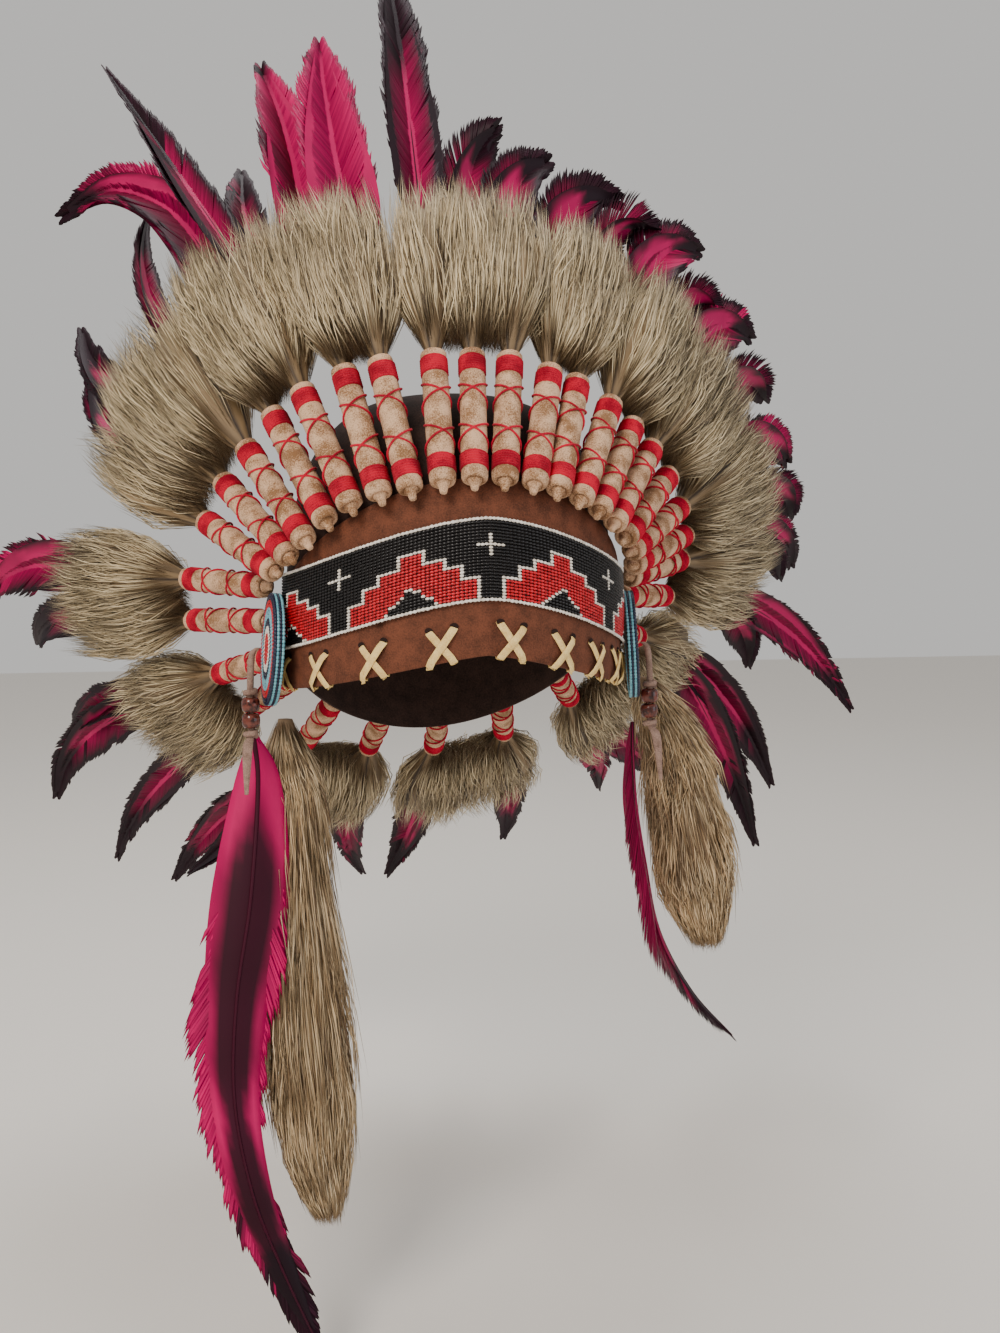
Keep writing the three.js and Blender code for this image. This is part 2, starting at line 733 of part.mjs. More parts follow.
// A round glossy bead with its bore.
function beadGeometry() {
  const { radius, bore, height, cheek, belly, segments } = BEAD;
  const half = height / 2;
  const profile = [
    [bore, -half],
    [radius * cheek, -half],
    [radius, -half * belly],
    [radius, half * belly],
    [radius * cheek, half],
    [bore, half],
    [bore, -half],
  ].map(([r, h]) => new THREE.Vector2(r, h));
  return new THREE.LatheGeometry(profile, segments);
}

// ---- Assembly --------------------------------------------------------------------------------------------
const headdress = new THREE.Group();
const SIDES = { left: -1, right: 1 };

function addPiece(name, geometry, finish) {
  const mesh = new THREE.Mesh(geometry, new THREE.MeshStandardMaterial({ metalness: 0, ...finish }));
  mesh.name = name;
  headdress.add(mesh);
  return mesh;
}

addPiece("cap", capGeometry(), FINISH.capLeather);
addPiece("brow_band", browBandGeometry(), FINISH.bandLeather);
addPiece("bead_strip", beadStripGeometry(), FINISH.beadwork);
addPiece("edge_lacing", edgeLacingGeometry(), FINISH.lace);

for (const [place, { side, off, turn }] of Object.entries(ROSETTE_SIDES)) {
  const rosette = addPiece("rosette_" + place, rosetteGeometry(), FINISH.rosette);
  const forward = radians(turn);
  const tilt = radians(ROSETTE_PLACE.tilt);
  const axis = new THREE.Vector3(side * Math.cos(forward), -Math.sin(forward), Math.tan(tilt)).normalize();
  rosette.position.copy(headPoint(side * radians(ROSETTE_PLACE.ring), ROSETTE_PLACE.z, off));
  rosette.quaternion.setFromUnitVectors(new THREE.Vector3(0, 1, 0), axis);
}

STICKS.forEach((stick, i) => {
  addPiece("stick_" + String(i + 1).padStart(2, "0"), stickGeometry(stick), FINISH.felt);
});

plumeGeometries().forEach((plume, i) => {
  addPiece("plume_" + String(i + 1).padStart(2, "0"), plume, FINISH.plume);
});

for (const [place, side] of Object.entries(SIDES)) {
  addPiece("drop_thong_" + place, thongGeometry(side), FINISH.suede);
  for (const [row, z] of Object.entries(BEAD_HEIGHTS)) {
    const bead = addPiece("drop_bead_" + place + "_" + row, beadGeometry(), FINISH.drop);
    bead.position.set(side * DROP.x, DROP.y, z);
    bead.rotation.x = Math.PI / 2;
  }
}
addPiece("drop_feather_left", hangingGeometry(DROP_FEATHER_LEFT, DROP.featherSides), FINISH.vane);
addPiece("drop_feather_right", hangingGeometry(DROP_FEATHER_RIGHT, DROP.featherSides), FINISH.vane);
addPiece("fur_tail_left", hangingGeometry(FUR_TAIL_LEFT, DROP.tailSides), FINISH.plume);
addPiece("fur_tail_right", hangingGeometry(FUR_TAIL_RIGHT, DROP.tailSides), FINISH.plume);

export default headdress;
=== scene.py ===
"""The feathered headdress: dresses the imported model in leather, beadwork, felt, fur and cock feathers.

Sizes in the tables are millimetres, as in the part's source, and every mesh is written in metres.
The origin is the crown of the head, +Z is up, and the wearer looks along -Y.
"""

import logging
import math
from collections.abc import Callable
from dataclasses import astuple, dataclass, field, replace
from enum import Enum

import bpy
import numpy as np
from mathutils import Matrix, Vector


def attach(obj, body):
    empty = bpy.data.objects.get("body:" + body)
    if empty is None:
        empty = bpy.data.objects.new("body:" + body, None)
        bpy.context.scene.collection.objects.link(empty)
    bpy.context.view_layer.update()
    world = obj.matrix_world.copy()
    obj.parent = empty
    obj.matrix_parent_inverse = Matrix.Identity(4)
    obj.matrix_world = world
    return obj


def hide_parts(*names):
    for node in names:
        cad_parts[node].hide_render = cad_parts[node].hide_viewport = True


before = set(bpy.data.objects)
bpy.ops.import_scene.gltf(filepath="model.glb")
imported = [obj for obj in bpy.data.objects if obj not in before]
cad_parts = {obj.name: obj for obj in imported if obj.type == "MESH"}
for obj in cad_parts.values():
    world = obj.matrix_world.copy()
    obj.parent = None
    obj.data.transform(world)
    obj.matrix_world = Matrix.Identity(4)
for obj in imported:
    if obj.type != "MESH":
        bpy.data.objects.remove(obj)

LOG = logging.getLogger("headdress")
MM = 0.001
ROOT = "root"
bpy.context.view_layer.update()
SEED = 20261123


# ---- Tables shared with the part's source --------------------------------------------------------------


@dataclass(frozen=True)
class Head:
    """The head it is worn on: half sizes, height of the widest level, and the slimming below it."""

    half_width: float = 83.5
    half_depth: float = 101.5
    crown: float = 130.0
    nape_depth: float = 60.0
    nape_taper: float = 0.1


@dataclass(frozen=True)
class Rim:
    """The line that carries the quills: its middle height and how far it slopes to the nape."""

    middle: float = 108.0
    slope: float = 62.0


@dataclass(frozen=True)
class Quill:
    """One felt-wrapped quill: place on the rim, turn from upright, lean to the back, lift over the rim."""

    ring: float
    fan: float
    sweep: float
    lift: float


@dataclass(frozen=True)
class PlumeRow:
    """One plume: its first and last quill, the length of its fur and how far it stands out."""

    first: int
    last: int
    fur: float
    girth: float


@dataclass(frozen=True)
class FeatherRow:
    """One cock feather, in the columns of the part's source, with how dark its blade is from 0 to 1."""

    stick: int
    start: float
    lean: float
    rise: float
    length: float
    width: float
    curl: float
    droop: float
    late: float
    twist: float
    dark: float


@dataclass(frozen=True)
class DropRow:
    """One section of a hanging piece: its middle, width and depth."""

    x: float
    y: float
    z: float
    width: float
    depth: float


HEAD = Head()
RIM = Rim()
STICK_RADIUS = 6.3
STICK_LENGTH = 70.0
STICK_CLEAR = 1.8
BAND_INSIDE = 2.9
BAND_OUTSIDE = 5.1
BAND_REACH = 98.0
BAND_END_ROOM = 4.0
CAP_WALL = 1.8
TUFT_GAP = 0.4

QUILLS = [
    Quill(*row)
    for row in (
        (-167, -172, 58, 0),
        (-144, -157, 58, -6),
        (-123, -137, 60, -5),
        (-107, -116, 60, -8),
        (-98, -93, 56, 2),
        (-89, -86, 55, 11),
        (-74, -52, 53, 3),
        (-64, -38, 46, 0),
        (-56, -29, 40, 0),
        (-48, -23, 34, 2),
        (-40, -19, 31, 3),
        (-31, -12, 28, 2),
        (-22, -9, 27, 0),
        (-13, 1, 28, 0),
        (-4, 5, 29, 0),
        (5, 9, 29, 0),
        (14, 16, 32, 0),
        (22, 19, 33, 0),
        (30, 28, 36, 0),
        (38, 34, 39, 0),
        (46, 40, 41, 0),
        (54, 49, 43, 0),
        (62, 61, 45, 1),
        (71, 71, 46, 3),
        (81, 80, 47, 7),
        (92, 93, 50, 8),
        (101, 106, 57, 0),
        (126, 132, 60, -4),
        (148, 155, 60, -4),
        (171, 174, 58, 0),
    )
]

PLUMES = [
    PlumeRow(*row)
    for row in (
        (1, 2, 110, 28),
        (3, 4, 118, 28),
        (5, 6, 128, 27),
        (7, 9, 112, 26),
        (10, 11, 98, 25),
        (12, 13, 92, 23),
        (14, 16, 92, 22),
        (17, 18, 92, 21),
        (19, 20, 100, 21.6),
        (21, 22, 112, 23),
        (23, 24, 124, 24),
        (25, 26, 134, 25),
        (27, 28, 128, 27),
        (29, 30, 110, 28),
    )
]

FEATHERS = [
    FeatherRow(*row)
    for row in (
        (1, 55, -8, 0, 150, 26, -40, -30, 2, 20, 0.5),
        (2, 55, 18, 0, 205, 28, -20, -30, 2, 0, 0.45),
        (2, 50, 4, -6, 160, 24, 30, -30, 2, 30, 0.8),
        (3, 60, -2, -4, 205, 28, -30, -30, 2, 20, 0.75),
        (4, 70, -6, -6, 190, 30, -60, -20, 2, 0, 0.7),
        (4, 75, 10, -4, 150, 28, -70, 10, 2, 30, 0.6),
        (5, 80, 2, 4, 150, 30, -95, 10, 2, 20, 0.8),
        (6, 85, 2, 0, 150, 34, -85, -10, 2, 0, 0.3),
        (7, 70, 14, 0, 120, 20, 50, -20, 2, 20, 0.8),
        (8, 65, -18, 5, 120, 22, 60, -10, 2, 0, 0.75),
        (9, 60, -8, 0, 150, 24, 60, 0, 1, 40, 0.75),
        (10, 50, 8, 0, 175, 36, -150, 0, 2, 10, 0.3),
        (11, 60, -12, -4, 160, 28, -2, -10, 2, 30, 0.85),
        (11, 50, 8, 4, 110, 22, 20, 20, 2, 0, 0.6),
        (12, 50, 4, 0, 135, 34, -20, -10, 3, 10, 0.05),
        (13, 50, 2, 0, 140, 36, 8, -10, 3, 0, 0.0),
        (14, 50, -2, 0, 215, 30, -6, 10, 3, 10, 0.85),
        (15, 50, -4, 0, 98, 32, 60, -10, 2, 20, 0.7),
        (16, 50, -6, 5, 92, 32, 85, -10, 2, 0, 0.6),
        (17, 50, -8, 0, 90, 34, 115, -20, 2, 0, 0.6),
        (18, 50, 0, 4, 100, 32, 105, -10, 2, 30, 0.5),
        (19, 55, -4, 0, 110, 34, 95, 0, 2, 0, 0.4),
        (20, 55, -2, 4, 110, 34, 105, 0, 2, 20, 0.4),
        (21, 60, -4, 0, 120, 34, 105, 0, 2, 0, 0.35),
        (22, 60, -2, 0, 120, 34, 105, 10, 2, 20, 0.55),
        (23, 70, 0, 0, 115, 32, 95, 0, 2, 0, 0.3),
        (24, 75, 0, 0, 125, 32, 95, 10, 2, 20, 0.5),
        (25, 80, 0, 0, 130, 30, 90, 0, 2, 0, 0.55),
        (25, 80, 12, 4, 115, 26, 70, -10, 2, 30, 0.85),
        (26, 85, 8, -5, 225, 28, 45, -30, 1, 0, 0.4),
        (26, 80, 22, 0, 130, 26, 60, -10, 2, 20, 0.7),
        (27, 80, 12, -14, 215, 30, 35, -20, 1, 0, 0.65),
        (27, 75, 27, -14, 262, 30, 24, -20, 1, 20, 0.75),
        (28, 60, -14, -8, 170, 28, 20, -20, 2, 0, 0.5),
        (28, 60, 6, 0, 150, 26, 30, -20, 2, 30, 0.4),
        (29, 55, 0, 0, 150, 26, 30, -20, 2, 0, 0.5),
        (30, 55, 6, 0, 150, 26, 30, -30, 2, 20, 0.6),
    )
]
VANE_OUTLINE = (0.2, 0.95, 1.0, 0.8, 0.45, 0.1)

THONG_RIGHT = [
    DropRow(*row)
    for row in (
        (100.5, -20, -126, 3.0, 0.8),
        (103.5, -20, -130, 3.4, 3.0),
        (104.5, -21, -146, 3.4, 2.6),
        (104.5, -21, -168, 3.0, 2.4),
        (106.5, -27, -176, 5.0, 1.6),
        (107.5, -32, -198, 2.0, 1.2),
    )
]
DROP_FEATHER_LEFT = [
    DropRow(*row)
    for row in (
        (-103, -4, -171, 4, 1.5),
        (-101, -8, -198, 26, 1.5),
        (-106, -20, -254, 42, 1.5),
        (-114, -29, -303, 34, 1.5),
        (-116, -38, -351, 26, 1.5),
        (-108, -47, -396, 20, 1.5),
        (-94, -54, -434, 14, 1.5),
        (-78, -60, -470, 3, 1.5),
    )
]
DROP_FEATHER_RIGHT = [
    DropRow(*row)
    for row in (
        (101, -2, -171, 3, 3),
        (100, -7, -190, 7, 16),
        (100, -13, -214, 9, 26),
        (104, -17, -244, 8, 26),
        (111, -22, -282, 7, 20),
        (128, -27, -315, 6, 12),
        (150, -31, -340, 3, 3),
    )
]
FUR_TAIL_LEFT = [
    DropRow(*row)
    for row in (
        (-86, 10, -166, 10, 8),
        (-84, 8, -190, 26, 18),
        (-83, 4, -215, 34, 22),
        (-82, -4, -258, 36, 24),
        (-79, -12, -308, 44, 26),
        (-77, -22, -358, 42, 24),
        (-74, -33, -395, 28, 18),
        (-70, -40, -418, 8, 6),
    )
]
FUR_TAIL_RIGHT = [
    DropRow(*row)
    for row in (
        (112, 12, -148, 10, 8),
        (121, 11, -165, 28, 20),
        (131, 9, -190, 38, 26),
        (134, 6, -215, 42, 28),
        (138, 3, -243, 44, 28),
        (140, -1, -270, 38, 24),
        (144, -5, -298, 12, 10),
    )
]


# ---- The head and the quills ---------------------------------------------------------------------------


def head_share(z: float, off: float) -> float:
    """Share of the head's full half sizes at a height, for a surface that stands off it."""
    height = z + HEAD.crown
    if height < 0:
        return 1 - HEAD.nape_taper * (height / HEAD.nape_depth) ** 2
    return max(0.0, 1 - (height / (HEAD.crown + off)) ** 3) ** (1 / 3)


def head_point(angle: float, z: float, off: float) -> Vector:
    """A point on the head.

    Args:
        angle: place round the head from the brow, in radians, positive to +X.
        z: height in millimetres.
        off: distance off the skin in millimetres.

    Returns:
        The point in millimetres.
    """
    share = head_share(z, off)
    x = (HEAD.half_width + off) * share * math.sin(angle)
    y = -(HEAD.half_depth + off) * share * math.cos(angle)
    return Vector((x, y, z))


def head_normal(point: Vector) -> Vector:
    """The way out of the head at a point, level with the ground."""
    return Vector((point.x / HEAD.half_width**2, point.y / HEAD.half_depth**2, 0)).normalized()


def rim_height(angle: float) -> float:
    """Height of the line that carries the quills."""
    return -RIM.middle + RIM.slope * math.cos(angle)


def band_bottom(angle: float) -> float:
    """Height of the brow band's lower edge."""
    return -125 - 22 * abs(math.sin(angle)) ** 1.3


def strip_middle(angle: float) -> float:
    """Height of the beaded strip's middle line."""
    return -81 - 28 * abs(math.sin(angle)) ** 1.6


@dataclass(frozen=True)
class Axes:
    """Three unit vectors: along a quill, sideways in the halo and out of its back."""

    along: Vector
    side: Vector
    back: Vector


def quill_axes(quill: Quill, lean: float = 0.0, rise: float = 0.0) -> Axes:
    """The axes of a quill, or of what leaves it.

    Args:
        quill: the quill.
        lean: extra turn sideways in degrees.
        rise: extra turn to the back in degrees.

    Returns:
        The unit vectors.
    """
    a = math.radians(quill.fan + lean)
    b = math.radians(quill.sweep + rise)
    along = Vector((math.sin(a) * math.cos(b), math.sin(b), math.cos(a) * math.cos(b)))
    side = Vector((math.cos(a), 0, -math.sin(a)))
    back = Vector((-math.sin(a) * math.sin(b), math.cos(b), -math.cos(a) * math.sin(b)))
    return Axes(along, side, back)


def quill_root(quill: Quill) -> Vector:
    """Where a quill starts: on the rim, its side or end just off the leather."""
    angle = math.radians(quill.ring)
    on_band = abs(quill.ring) < BAND_REACH + BAND_END_ROOM
    skin = BAND_OUTSIDE if on_band else CAP_WALL
    point = head_point(angle, rim_height(angle) + quill.lift, skin)
    normal = head_normal(point)
    slant = math.sqrt(1 - quill_axes(quill).along.dot(normal) ** 2)
    return point + normal * (STICK_RADIUS * slant + STICK_CLEAR)


def quill_point(quill: Quill, distance: float) -> Vector:
    """A point of a quill at a distance from its root."""
    return quill_root(quill) + quill_axes(quill).along * distance


def beyond_quill(quill: Quill, distance: float) -> Vector:
    """A point on a quill's line beyond its end."""
    return quill_point(quill, STICK_LENGTH + TUFT_GAP + distance)


# ---- Finishes ------------------------------------------------------------------------------------------

Stops = tuple[tuple[float, str], ...]


def linear(code: str) -> tuple[float, float, float, float]:
    """An sRGB hex colour such as "C8184F" as linear RGBA."""
    parts = [int(code[i : i + 2], 16) / 255 for i in (0, 2, 4)]
    lit = [p / 12.92 if p <= 0.04045 else ((p + 0.055) / 1.055) ** 2.4 for p in parts]
    return (lit[0], lit[1], lit[2], 1.0)


def add_node(
    material: bpy.types.Material, kind: str, links: dict | None = None, **settings: object
) -> bpy.types.Node:
    """Adds a shader node.

    Args:
        material: the material it goes in.
        kind: the node's type name.
        links: the sockets that feed its inputs, by input name or number.
        settings: attributes by name; one that starts with "in_" sets an input's value, by name or number.

    Returns:
        The node.
    """
    node = material.node_tree.nodes.new(kind)
    for key, value in settings.items():
        if key.startswith("in_"):
            name = key[3:].replace("_", " ")
            node.inputs[int(name) if name.isdigit() else name].default_value = value
        else:
            setattr(node, key, value)
    for key, socket in (links or {}).items():
        material.node_tree.links.new(socket, node.inputs[key])
    return node


def noise(material: bpy.types.Material, scale: float, detail: float) -> bpy.types.NodeSocket:
    """Noise in the piece's own space, with so many cells a metre."""
    place = add_node(material, "ShaderNodeTexCoord").outputs["Object"]
    node = add_node(material, "ShaderNodeTexNoise", {"Vector": place}, in_Scale=scale, in_Detail=detail)
    return node.outputs["Fac"]


def ramp(material: bpy.types.Material, value: bpy.types.NodeSocket, stops: Stops) -> bpy.types.NodeSocket:
    """The colour of a value on a ramp of stops, each a place and an sRGB hex colour."""
    node = add_node(material, "ShaderNodeValToRGB", {"Fac": value})
    elements = node.color_ramp.elements
    while len(elements) > 1:
        elements.remove(elements[-1])
    for k, (place, code) in enumerate(stops):
        stop = elements[0] if k == 0 else elements.new(place)
        stop.position = place
        stop.color = linear(code)
    return node.outputs["Color"]


def new_material(
    name: str, roughness: float, specular: float = 0.5
) -> tuple[bpy.types.Material, bpy.types.Node]:
    """A node material and its principled shader."""
    material = bpy.data.materials.new(name)
    material.use_nodes = True
    tree = material.node_tree
    tree.nodes.clear()
    shader = tree.nodes.new("ShaderNodeBsdfPrincipled")
    output = tree.nodes.new("ShaderNodeOutputMaterial")
    tree.links.new(shader.outputs["BSDF"], output.inputs["Surface"])
    shader.inputs["Roughness"].default_value = roughness
    shader.inputs["Specular IOR Level"].default_value = specular
    return material, shader


def add_grain(
    material: bpy.types.Material,
    shader: bpy.types.Node,
    coarse: bpy.types.NodeSocket,
    fine: bpy.types.NodeSocket,
    stops: Stops,
) -> bpy.types.NodeSocket:
    """Colours a shader by the mean of two noises.

    Args:
        material, shader: the material and its shader.
        coarse, fine: the noises.
        stops: the colours of their mean.

    Returns:
        The sum of both noises.
    """
    both = add_node(material, "ShaderNodeMath", {0: coarse, 1: fine}, operation="ADD").outputs[0]
    half = add_node(material, "ShaderNodeMath", {0: both}, operation="MULTIPLY", in_1=0.5).outputs[0]
    material.node_tree.links.new(ramp(material, half, stops), shader.inputs["Base Color"])
    return both


def add_bump(
    material: bpy.types.Material,
    shader: bpy.types.Node,
    height: bpy.types.NodeSocket,
    strength: float,
    depth_mm: float,
) -> None:
    """Roughens a shader by a height, so many millimetres deep."""
    links, depth = {"Height": height}, depth_mm * MM
    bump = add_node(material, "ShaderNodeBump", links, in_Strength=strength, in_Distance=depth)
    material.node_tree.links.new(bump.outputs["Normal"], shader.inputs["Normal"])


@dataclass(frozen=True)
class Hide:
    """Napped leather or suede: cloudy tone, fine pores and a soft nap."""

    name: str
    light: str
    dark: str
    roughness: float
    cloud_mm: float
    pore_mm: float
    depth_mm: float

    def build(self) -> bpy.types.Material:
        """The material: two tones in clouds, with a pore bump at its real scale."""
        material, shader = new_material(self.name, self.roughness, 0.25)
        cloud = noise(material, 1 / (self.cloud_mm * MM), 6.0)
        pores = noise(material, 1 / (self.pore_mm * MM), 3.0)
        scuff = add_grain(material, shader, cloud, pores, ((0.36, self.dark), (0.62, self.light)))
        add_bump(material, shader, scuff, 0.6, self.depth_mm)
        return material


@dataclass(frozen=True)
class Glass:
    """Opaque glass seed beads: one colour with a slight drift from bead to bead, and a glossy coat."""

    name: str
    color: str
    shade: str
    roughness: float = 0.3
    drift_scale: float = 420.0
    glass_ior: float = 1.52

    def build(self) -> bpy.types.Material:
        """The material: colour drifts over a few beads, as sorted glass does."""
        material, shader = new_material(self.name, self.roughness, 0.4)
        tone = ramp(material, noise(material, self.drift_scale, 2.0), ((0.35, self.shade), (0.6, self.color)))
        material.node_tree.links.new(tone, shader.inputs["Base Color"])
        shader.inputs["IOR"].default_value = self.glass_ior
        return material


@dataclass(frozen=True)
class Wool:
    """Felt or wound thread: fibres in a matted tangle, or turns that run round the quill."""

    name: str
    light: str
    dark: str
    fibre_mm: float
    depth_mm: float
    patch_scale: float = 110.0

    def build(self) -> bpy.types.Material:
        """The material: matted fibres in two tones with a fuzzy sheen."""
        material, shader = new_material(self.name, 0.95, 0.15)
        fibres = noise(material, 1 / (self.fibre_mm * MM), 4.0)
        patches = noise(material, self.patch_scale, 2.0)
        add_grain(material, shader, fibres, patches, ((0.41, self.dark), (0.57, self.light)))
        add_bump(material, shader, fibres, 1.0, self.depth_mm)
        shader.inputs["Sheen Weight"].default_value = 0.06
        return material


@dataclass(frozen=True)
class Hair:
    """Animal fur: each hair goes from a dark root over a pale middle to a grey-brown tip."""

    name: str
    stops: Stops
    warm: str
    cool: str
    plain: str = "D6CFC4"

    def build(self) -> bpy.types.Material:
        """The material: the hair's own UV gives its own tone and the place along it."""
        material, shader = new_material(self.name, 0.62, 0.4)
        uv = add_node(material, "ShaderNodeUVMap", uv_map="hair").outputs["UV"]
        parts = add_node(material, "ShaderNodeSeparateXYZ", {0: uv}).outputs
        along = ramp(material, parts["Y"], self.stops)
        own = ramp(material, parts["X"], ((0.12, self.cool), (0.38, self.plain), (0.8, self.warm)))
        links, settings = {6: along, 7: own}, {"data_type": "RGBA", "blend_type": "MULTIPLY"}
        color = add_node(material, "ShaderNodeMix", links, in_0=1.0, **settings)
        material.node_tree.links.new(color.outputs[2], shader.inputs["Base Color"])
        return material


@dataclass(frozen=True)
class Barbs:
    """Dyed cock feather: glossy barbs that go from magenta to the black of the undyed edge and tip."""

    name: str
    bright: str
    deep: str
    black: str
    plum: str

    def build(self) -> bpy.types.Material:
        """The material: the blade's own UV holds how black each barb is and its own tone."""
        material, shader = new_material(self.name, 0.5, 0.16)
        uv = add_node(material, "ShaderNodeUVMap", uv_map="barb").outputs["UV"]
        parts = add_node(material, "ShaderNodeSeparateXYZ", {0: uv}).outputs
        dyed = ramp(material, parts["Y"], ((0.0, self.deep), (1.0, self.bright)))
        dark = ramp(material, parts["Y"], ((0.0, self.black), (1.0, self.plum)))
        color = add_node(material, "ShaderNodeMix", {0: parts["X"], 6: dyed, 7: dark}, data_type="RGBA")
        material.node_tree.links.new(color.outputs[2], shader.inputs["Base Color"])
        return material


class Finish(Enum):
    """The headdress's finishes, each with a name."""

    CAP = "cap_leather"
    BAND = "band_leather"
    BEADWORK = "beadwork"
    LACE = "lace"
    ROSETTE = "rosette_beads"
    FELT = "felt"
    PLUME = "plume"
    SUEDE = "suede"
    DROP = "drop_bead"
    VANE = "vane"


class Palette:
    """Builds each material once."""

    def __init__(self) -> None:
        """Makes every material of the headdress."""
        # Brushed cowhide, matt with a short nap.
        self.cap = Hide("dark_suede", "3E2C26", "241815", 0.9, 9.0, 0.9, 0.25).build()
        # Vegetable-tanned suede, dyed brown.
        self.band = Hide("brown_suede", "70402C", "4A2A1C", 0.8, 7.0, 0.7, 0.25).build()
        # Buckskin lace, pale and smooth.
        self.lace = Hide("pale_buckskin", "F4D692", "D2AC66", 0.6, 4.0, 0.6, 0.12).build()
        # Greyish suede of the side thongs.
        self.thong = Hide("grey_suede", "A08476", "6E574C", 0.88, 5.0, 0.6, 0.2).build()
        # Painted shade of the punched holes where the lace goes in, as a near-black suede.
        self.hole = Hide("painted_hole_shade", "2A1813", "170D0A", 0.9, 3.0, 0.5, 0.1).build()
        # Opaque glass seed beads.
        self.black_bead = Glass("black_glass", "141113", "0B090A").build()
        self.red_bead = Glass("red_glass", "CE1A2A", "A00E1A").build()
        self.white_bead = Glass("white_glass", "F4EFE6", "D9D0C2").build()
        self.turquoise_bead = Glass("turquoise_glass", "7FBFCB", "5D9FB0").build()
        self.navy_bead = Glass("navy_glass", "1D2440", "11162B").build()
        # Waxed cotton warp between the beads.
        self.warp = Wool("waxed_cotton", "2A2625", "151312", 0.5, 0.1).build()
        # Wool felt and red wool thread of the quill wraps.
        self.felt = Wool("wool_felt", "DAB390", "8A6444", 0.6, 0.5).build()
        self.thread = Wool("red_thread", "CC1838", "8E0C24", 0.5, 0.25).build()
        # Long-haired fur, pale in the middle of each hair.
        stops = ((0.0, "4A3C30"), (0.16, "968061"), (0.45, "EDE0C2"), (0.78, "E0CFAE"), (1.0, "94816A"))
        self.fur = Hair("long_fur", stops, "FFF8EA", "4E4238").build()
        tail_stops = ((0.0, "5A483A"), (0.18, "A88E70"), (0.5, "EADBBE"), (0.8, "D2BC9C"), (1.0, "80694F"))
        self.tail_fur = Hair("tail_fur", tail_stops, "FFEFD8", "6E5C50").build()
        # Cock feathers, dyed magenta and left black at the edge and tip.
        self.vane = Barbs("dyed_cock_feather", "E2006C", "86003F", "060405", "2C0E20").build()
        # Horn-brown glass beads of the side drops.
        self.drop_bead = Glass("brown_glass", "6B352A", "2A1513", 0.12).build()


# ---- Mesh tools ----------------------------------------------------------------------------------------

WALL_INWARD = -1.0
WALL_CENTRED = 0.0
SHARP_DEGREES = 50
Part = tuple[np.ndarray, list]
Pairs = tuple[tuple[float, float], ...]


def activate(piece: bpy.types.Object) -> None:
    """Selects one piece alone and makes it the active one."""
    bpy.ops.object.select_all(action="DESELECT")
    piece.select_set(True)
    bpy.context.view_layer.objects.active = piece


def add_piece(mesh: bpy.types.Mesh, materials: list[bpy.types.Material]) -> bpy.types.Object:
    """Puts a mesh in the scene at the origin, with its materials in slot order."""
    piece = bpy.data.objects.new(mesh.name, mesh)
    bpy.context.scene.collection.objects.link(piece)
    for material in materials:
        mesh.materials.append(material)
    return piece


def settle(piece: bpy.types.Object, node: str) -> None:
    """Puts a piece on its body, hides the CAD node that it stands for, and reports its triangles."""
    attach(piece, ROOT)
    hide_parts(node)
    LOG.info("%s: %d triangles", piece.name, len(piece.data.loops) - 2 * len(piece.data.polygons))


def shade_smooth(piece: bpy.types.Object, angle: float) -> None:
    """Shades a piece smooth, with edges sharper than an angle in degrees left hard."""
    activate(piece)
    bpy.ops.object.shade_smooth_by_angle(angle=math.radians(angle))
    piece.select_set(False)


def face_out(piece: bpy.types.Object) -> None:
    """Turns the faces of a piece's closed bodies outwards."""
    activate(piece)
    bpy.ops.object.mode_set(mode="EDIT")
    bpy.ops.mesh.select_all(action="SELECT")
    bpy.ops.mesh.normals_make_consistent(inside=False)
    bpy.ops.object.mode_set(mode="OBJECT")
    piece.select_set(False)


def thicken(piece: bpy.types.Object, wall_mm: float, offset: float, edge_mm: float) -> None:
    """Gives a sheet its wall and rounds the cut edge, both applied.

    Args:
        piece: the sheet.
        wall_mm: its thickness.
        offset: where the wall lies, from WALL_INWARD to 1, outside the sheet.
        edge_mm: rounding of the cut edge.
    """
    activate(piece)
    solid = piece.modifiers.new("wall", "SOLIDIFY")
    solid.thickness = wall_mm * MM
    solid.offset = offset
    solid.use_even_offset = True
    bevel = piece.modifiers.new("cut_edge", "BEVEL")
    bevel.width = edge_mm * MM
    bevel.segments = 2
    bevel.limit_method = "ANGLE"
    bevel.angle_limit = math.radians(SHARP_DEGREES)
    bpy.ops.object.modifier_apply(modifier="wall")
    bpy.ops.object.modifier_apply(modifier="cut_edge")
    piece.select_set(False)


def head_grid(name: str, across: int, up: int, place: Callable[[float, float], Vector]) -> bpy.types.Object:
    """A grid laid on the head.

    Args:
        name: the piece's name.
        across, up: its numbers of cells.
        place: gives the point in millimetres for two places from -1 to 1.

    Returns:
        The sheet.
    """
    bpy.ops.mesh.primitive_grid_add(x_subdivisions=across, y_subdivisions=up, size=2.0)
    piece = bpy.context.active_object
    piece.name = name
    for vertex in piece.data.vertices:
        vertex.co = place(vertex.co.x, vertex.co.y) * MM
    return piece


def ring_faces(rings: int, sides: int, loop: bool = False) -> list[tuple[int, ...]]:
    """Faces of a tube of rings, with a face at each end or, as a loop, its last ring joined to the first."""
    faces = []
    for k in range(rings if loop else rings - 1):
        a, b = k * sides, (k + 1) % rings * sides
        for i in range(sides):
            j = (i + 1) % sides
            faces.append((a + i, a + j, b + j, b + i))
    if not loop:
        last = (rings - 1) * sides
        faces += [tuple(range(sides - 1, -1, -1)), tuple(range(last, last + sides))]
    return faces


